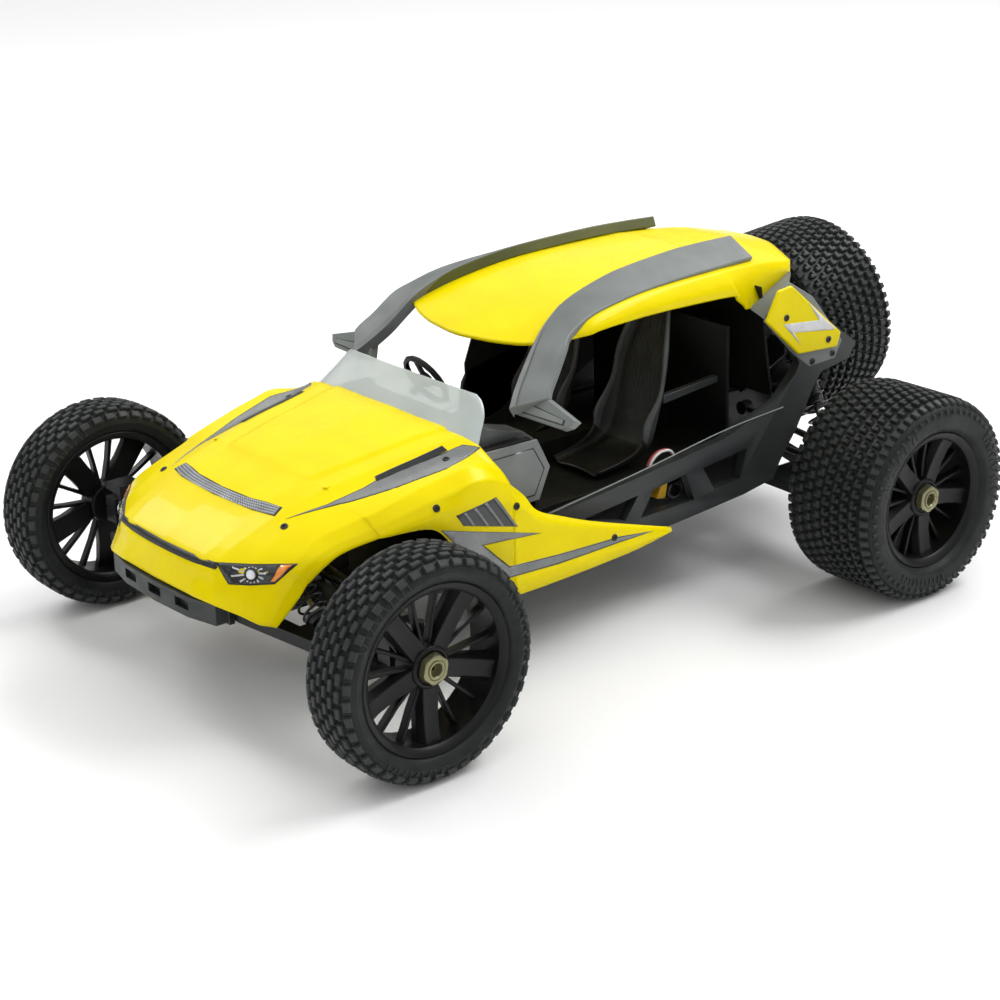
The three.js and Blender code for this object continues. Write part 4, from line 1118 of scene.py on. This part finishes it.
def make_headlight(side, sign, tree):
    out = Vector((0.5 * sign, -0.8, 0.2)).normalized()
    outline = mirrored(HEADLIGHT, sign)
    applied(f"headlight_bezel_{side}", outline, tree, out, BLACK, 0.25, margin=0.8)
    applied(f"headlight_glass_{side}", outline, tree, out, DECAL_DARK, 0.45)
    applied(f"headlight_amber_{side}", mirrored(AMBER_END, sign), tree, out, AMBER, 0.9)
    lamp = Vector(mirrored([LAMP], sign)[0])
    along = (Vector(outline[2]) - Vector(outline[0])).normalized()
    above = out.cross(along).normalized() * sign
    for k in range(14):
        turn = 2 * math.pi * k / 14 + 0.1
        ray = along * math.cos(turn) + above * math.sin(turn)
        across = out.cross(ray)
        longest = (15 if math.cos(turn) < 0 else 9.5) - 1.5 * (k % 2)
        reach = max(min(4.6 / max(abs(math.sin(turn)), 0.01), longest), 5.4)
        petal = [lamp + ray * 4.4 - across * 0.25, lamp + ray * reach - across * 0.8,
                 lamp + ray * reach + across * 0.5, lamp + ray * 4.4 + across * 0.5]
        applied(f"headlight_fin_{side}_{k}", [tuple(p) for p in petal], tree, out, DECAL_PALE, 0.6)
    centre = laid(tree, at(*lamp), out, 0)
    ring = [(0, 4.3), (2.9, 4.3), (3.5, 3.9), (3.5, 3.3), (2.8, 3.2)]
    turned_piece(f"headlight_ring_{side}", centre - out * 0.002, centre, ring, 28, BLACK, "chassis")
    lens = [(0, 3.2), (2.8, 3.2), (3.6, 2.3), (4.0, 1.1), (4.1, 0.2)]
    turned_piece(f"headlight_lens_{side}", centre - out * 0.002, centre, lens, 28, LENS, "chassis", 40)


def make_details(hood, skirts, plates):
    tree = surface_of(hood)
    front = Vector((0, -0.6, 0.8))
    applied("light_bar_slot", BAR_TOP + BAR_LOW[::-1], tree, front, BLACK, 0.2, margin=-0.3)
    cells("light_bar_cells", [(x * 0.97, y - 0.9, z) for x, y, z in BAR_TOP],
          [(x * 0.97, y + 0.5, z) for x, y, z in BAR_LOW], tree, front, SILVER, 60, 4, 0.9)
    rings = []
    for top, low in zip(smooth_line(GRILLE_TOP, 28), smooth_line(GRILLE_LOW, 28)):
        rings.append(in_frame([top - Y * 0.4, low - Y * 1.4, low + Y * 3, top + Y * 3]))
    slot = lofted("grille_slot", rings, BLACK)
    cells("grille_bars", GRILLE_TOP, GRILLE_LOW, surface_of(slot), Vector((0, -1, 0.2)), CHARCOAL, 70, 1,
          0.5)
    for side, sign in SIDES:
        make_headlight(side, sign, tree)
        out = Vector((0.25 * sign, -0.2, 0.9))
        flash = mirrored(HOOD_FLASH, sign)
        # Painted shadow: a dark rim around the flash stands for the shadow line under its edge.
        applied(f"hood_flash_shadow_line_{side}", flash, tree, out, DECAL_DARK, 0.14, 1.6, 0.8)
        applied(f"hood_flash_{side}", flash, tree, out, DECAL_GREY, 0.3, 1.6)
        slot = mirrored(MESH_TOP + MESH_LOW[::-1], sign)
        applied(f"hood_mesh_slot_{side}", slot, tree, out, DECAL_DARK, 0.36, margin=0.3)
        cells(f"hood_mesh_{side}", mirrored(MESH_TOP, sign), mirrored(MESH_LOW, sign), tree, out,
              CHARCOAL, 34, 3, 0.9)
        flank = surface_of(hood, skirts[side])
        level = X * sign
        zed = mirrored(ZED, sign)
        applied(f"zed_edge_{side}", zed, flank, level, DECAL_DARK, 0.12, margin=0.9)
        applied(f"zed_{side}", zed, flank, level, DECAL_GREY, 0.24)
        vent = mirrored(VENT, sign)
        applied(f"vent_{side}", vent, flank, level, DECAL_DARK, 0.2, margin=0.5)
        a, b, c, d = (Vector(p) for p in vent)
        for k, t in enumerate((0.2, 0.46, 0.74, 1.0)):
            high, low = a.lerp(b, t), d.lerp(c, t)
            slat = [high, high + (a - b).normalized() * 2.2, low + (d - c).normalized() * 2.2, low]
            applied(f"vent_slat_{side}_{k}", [tuple(p) for p in slat], flank, level, PANEL_GREY, 0.9)
        places = []
        for point, way in (((69.3, -225.1, 129), (0.2, -0.5, 0.84)),
                           ((86.9, -113.4, 149.1), (0.3, -0.2, 0.93)),
                           ((116.9, -145, 133.2), (0.9, -0.1, 0.4)), ((119.6, -84, 119.4), (1, 0, 0.1)),
                           ((118.6, -1.9, 75.9), (1, 0, 0.1))):
            spot = at(*mirrored([point], sign)[0])
            way = Vector(mirrored([way], sign)[0])
            places.append((laid(flank, spot, way, 0), way.normalized()))
        for x, y, z in ((PLATE_FACE, 175.6, 185), (PLATE_FACE, 218.3, 160.8),
                        (BACKING_FACE, 205.6, 146.5), (BACKING_FACE, 226.2, 148.2)):
            places.append((at(x * sign, y, z), level))
        screws(f"body_screw_{side}", places)
        plate = surface_of(plates[side])
        rear = [(PLATE_FACE * sign, y, z) for y, z in REAR_ZED]
        applied(f"rear_zed_{side}", rear, plate, level, DECAL_PALE, 0.2, margin=0.3)


make_camera()
make_studio()
make_wheels()
hood, skirts, plates = make_shells()
make_details(hood, skirts, plates)
make_cockpit()
make_running_gear()

floor_mesh = bpy.data.meshes.new("floor")
floor_mesh.from_pydata([(-30, -30, 0), (30, -30, 0), (30, 30, 0), (-30, 30, 0)], [], [(0, 1, 2, 3)])
floor = adopt("floor", floor_mesh, FLOOR, "chassis")
floor.parent = None
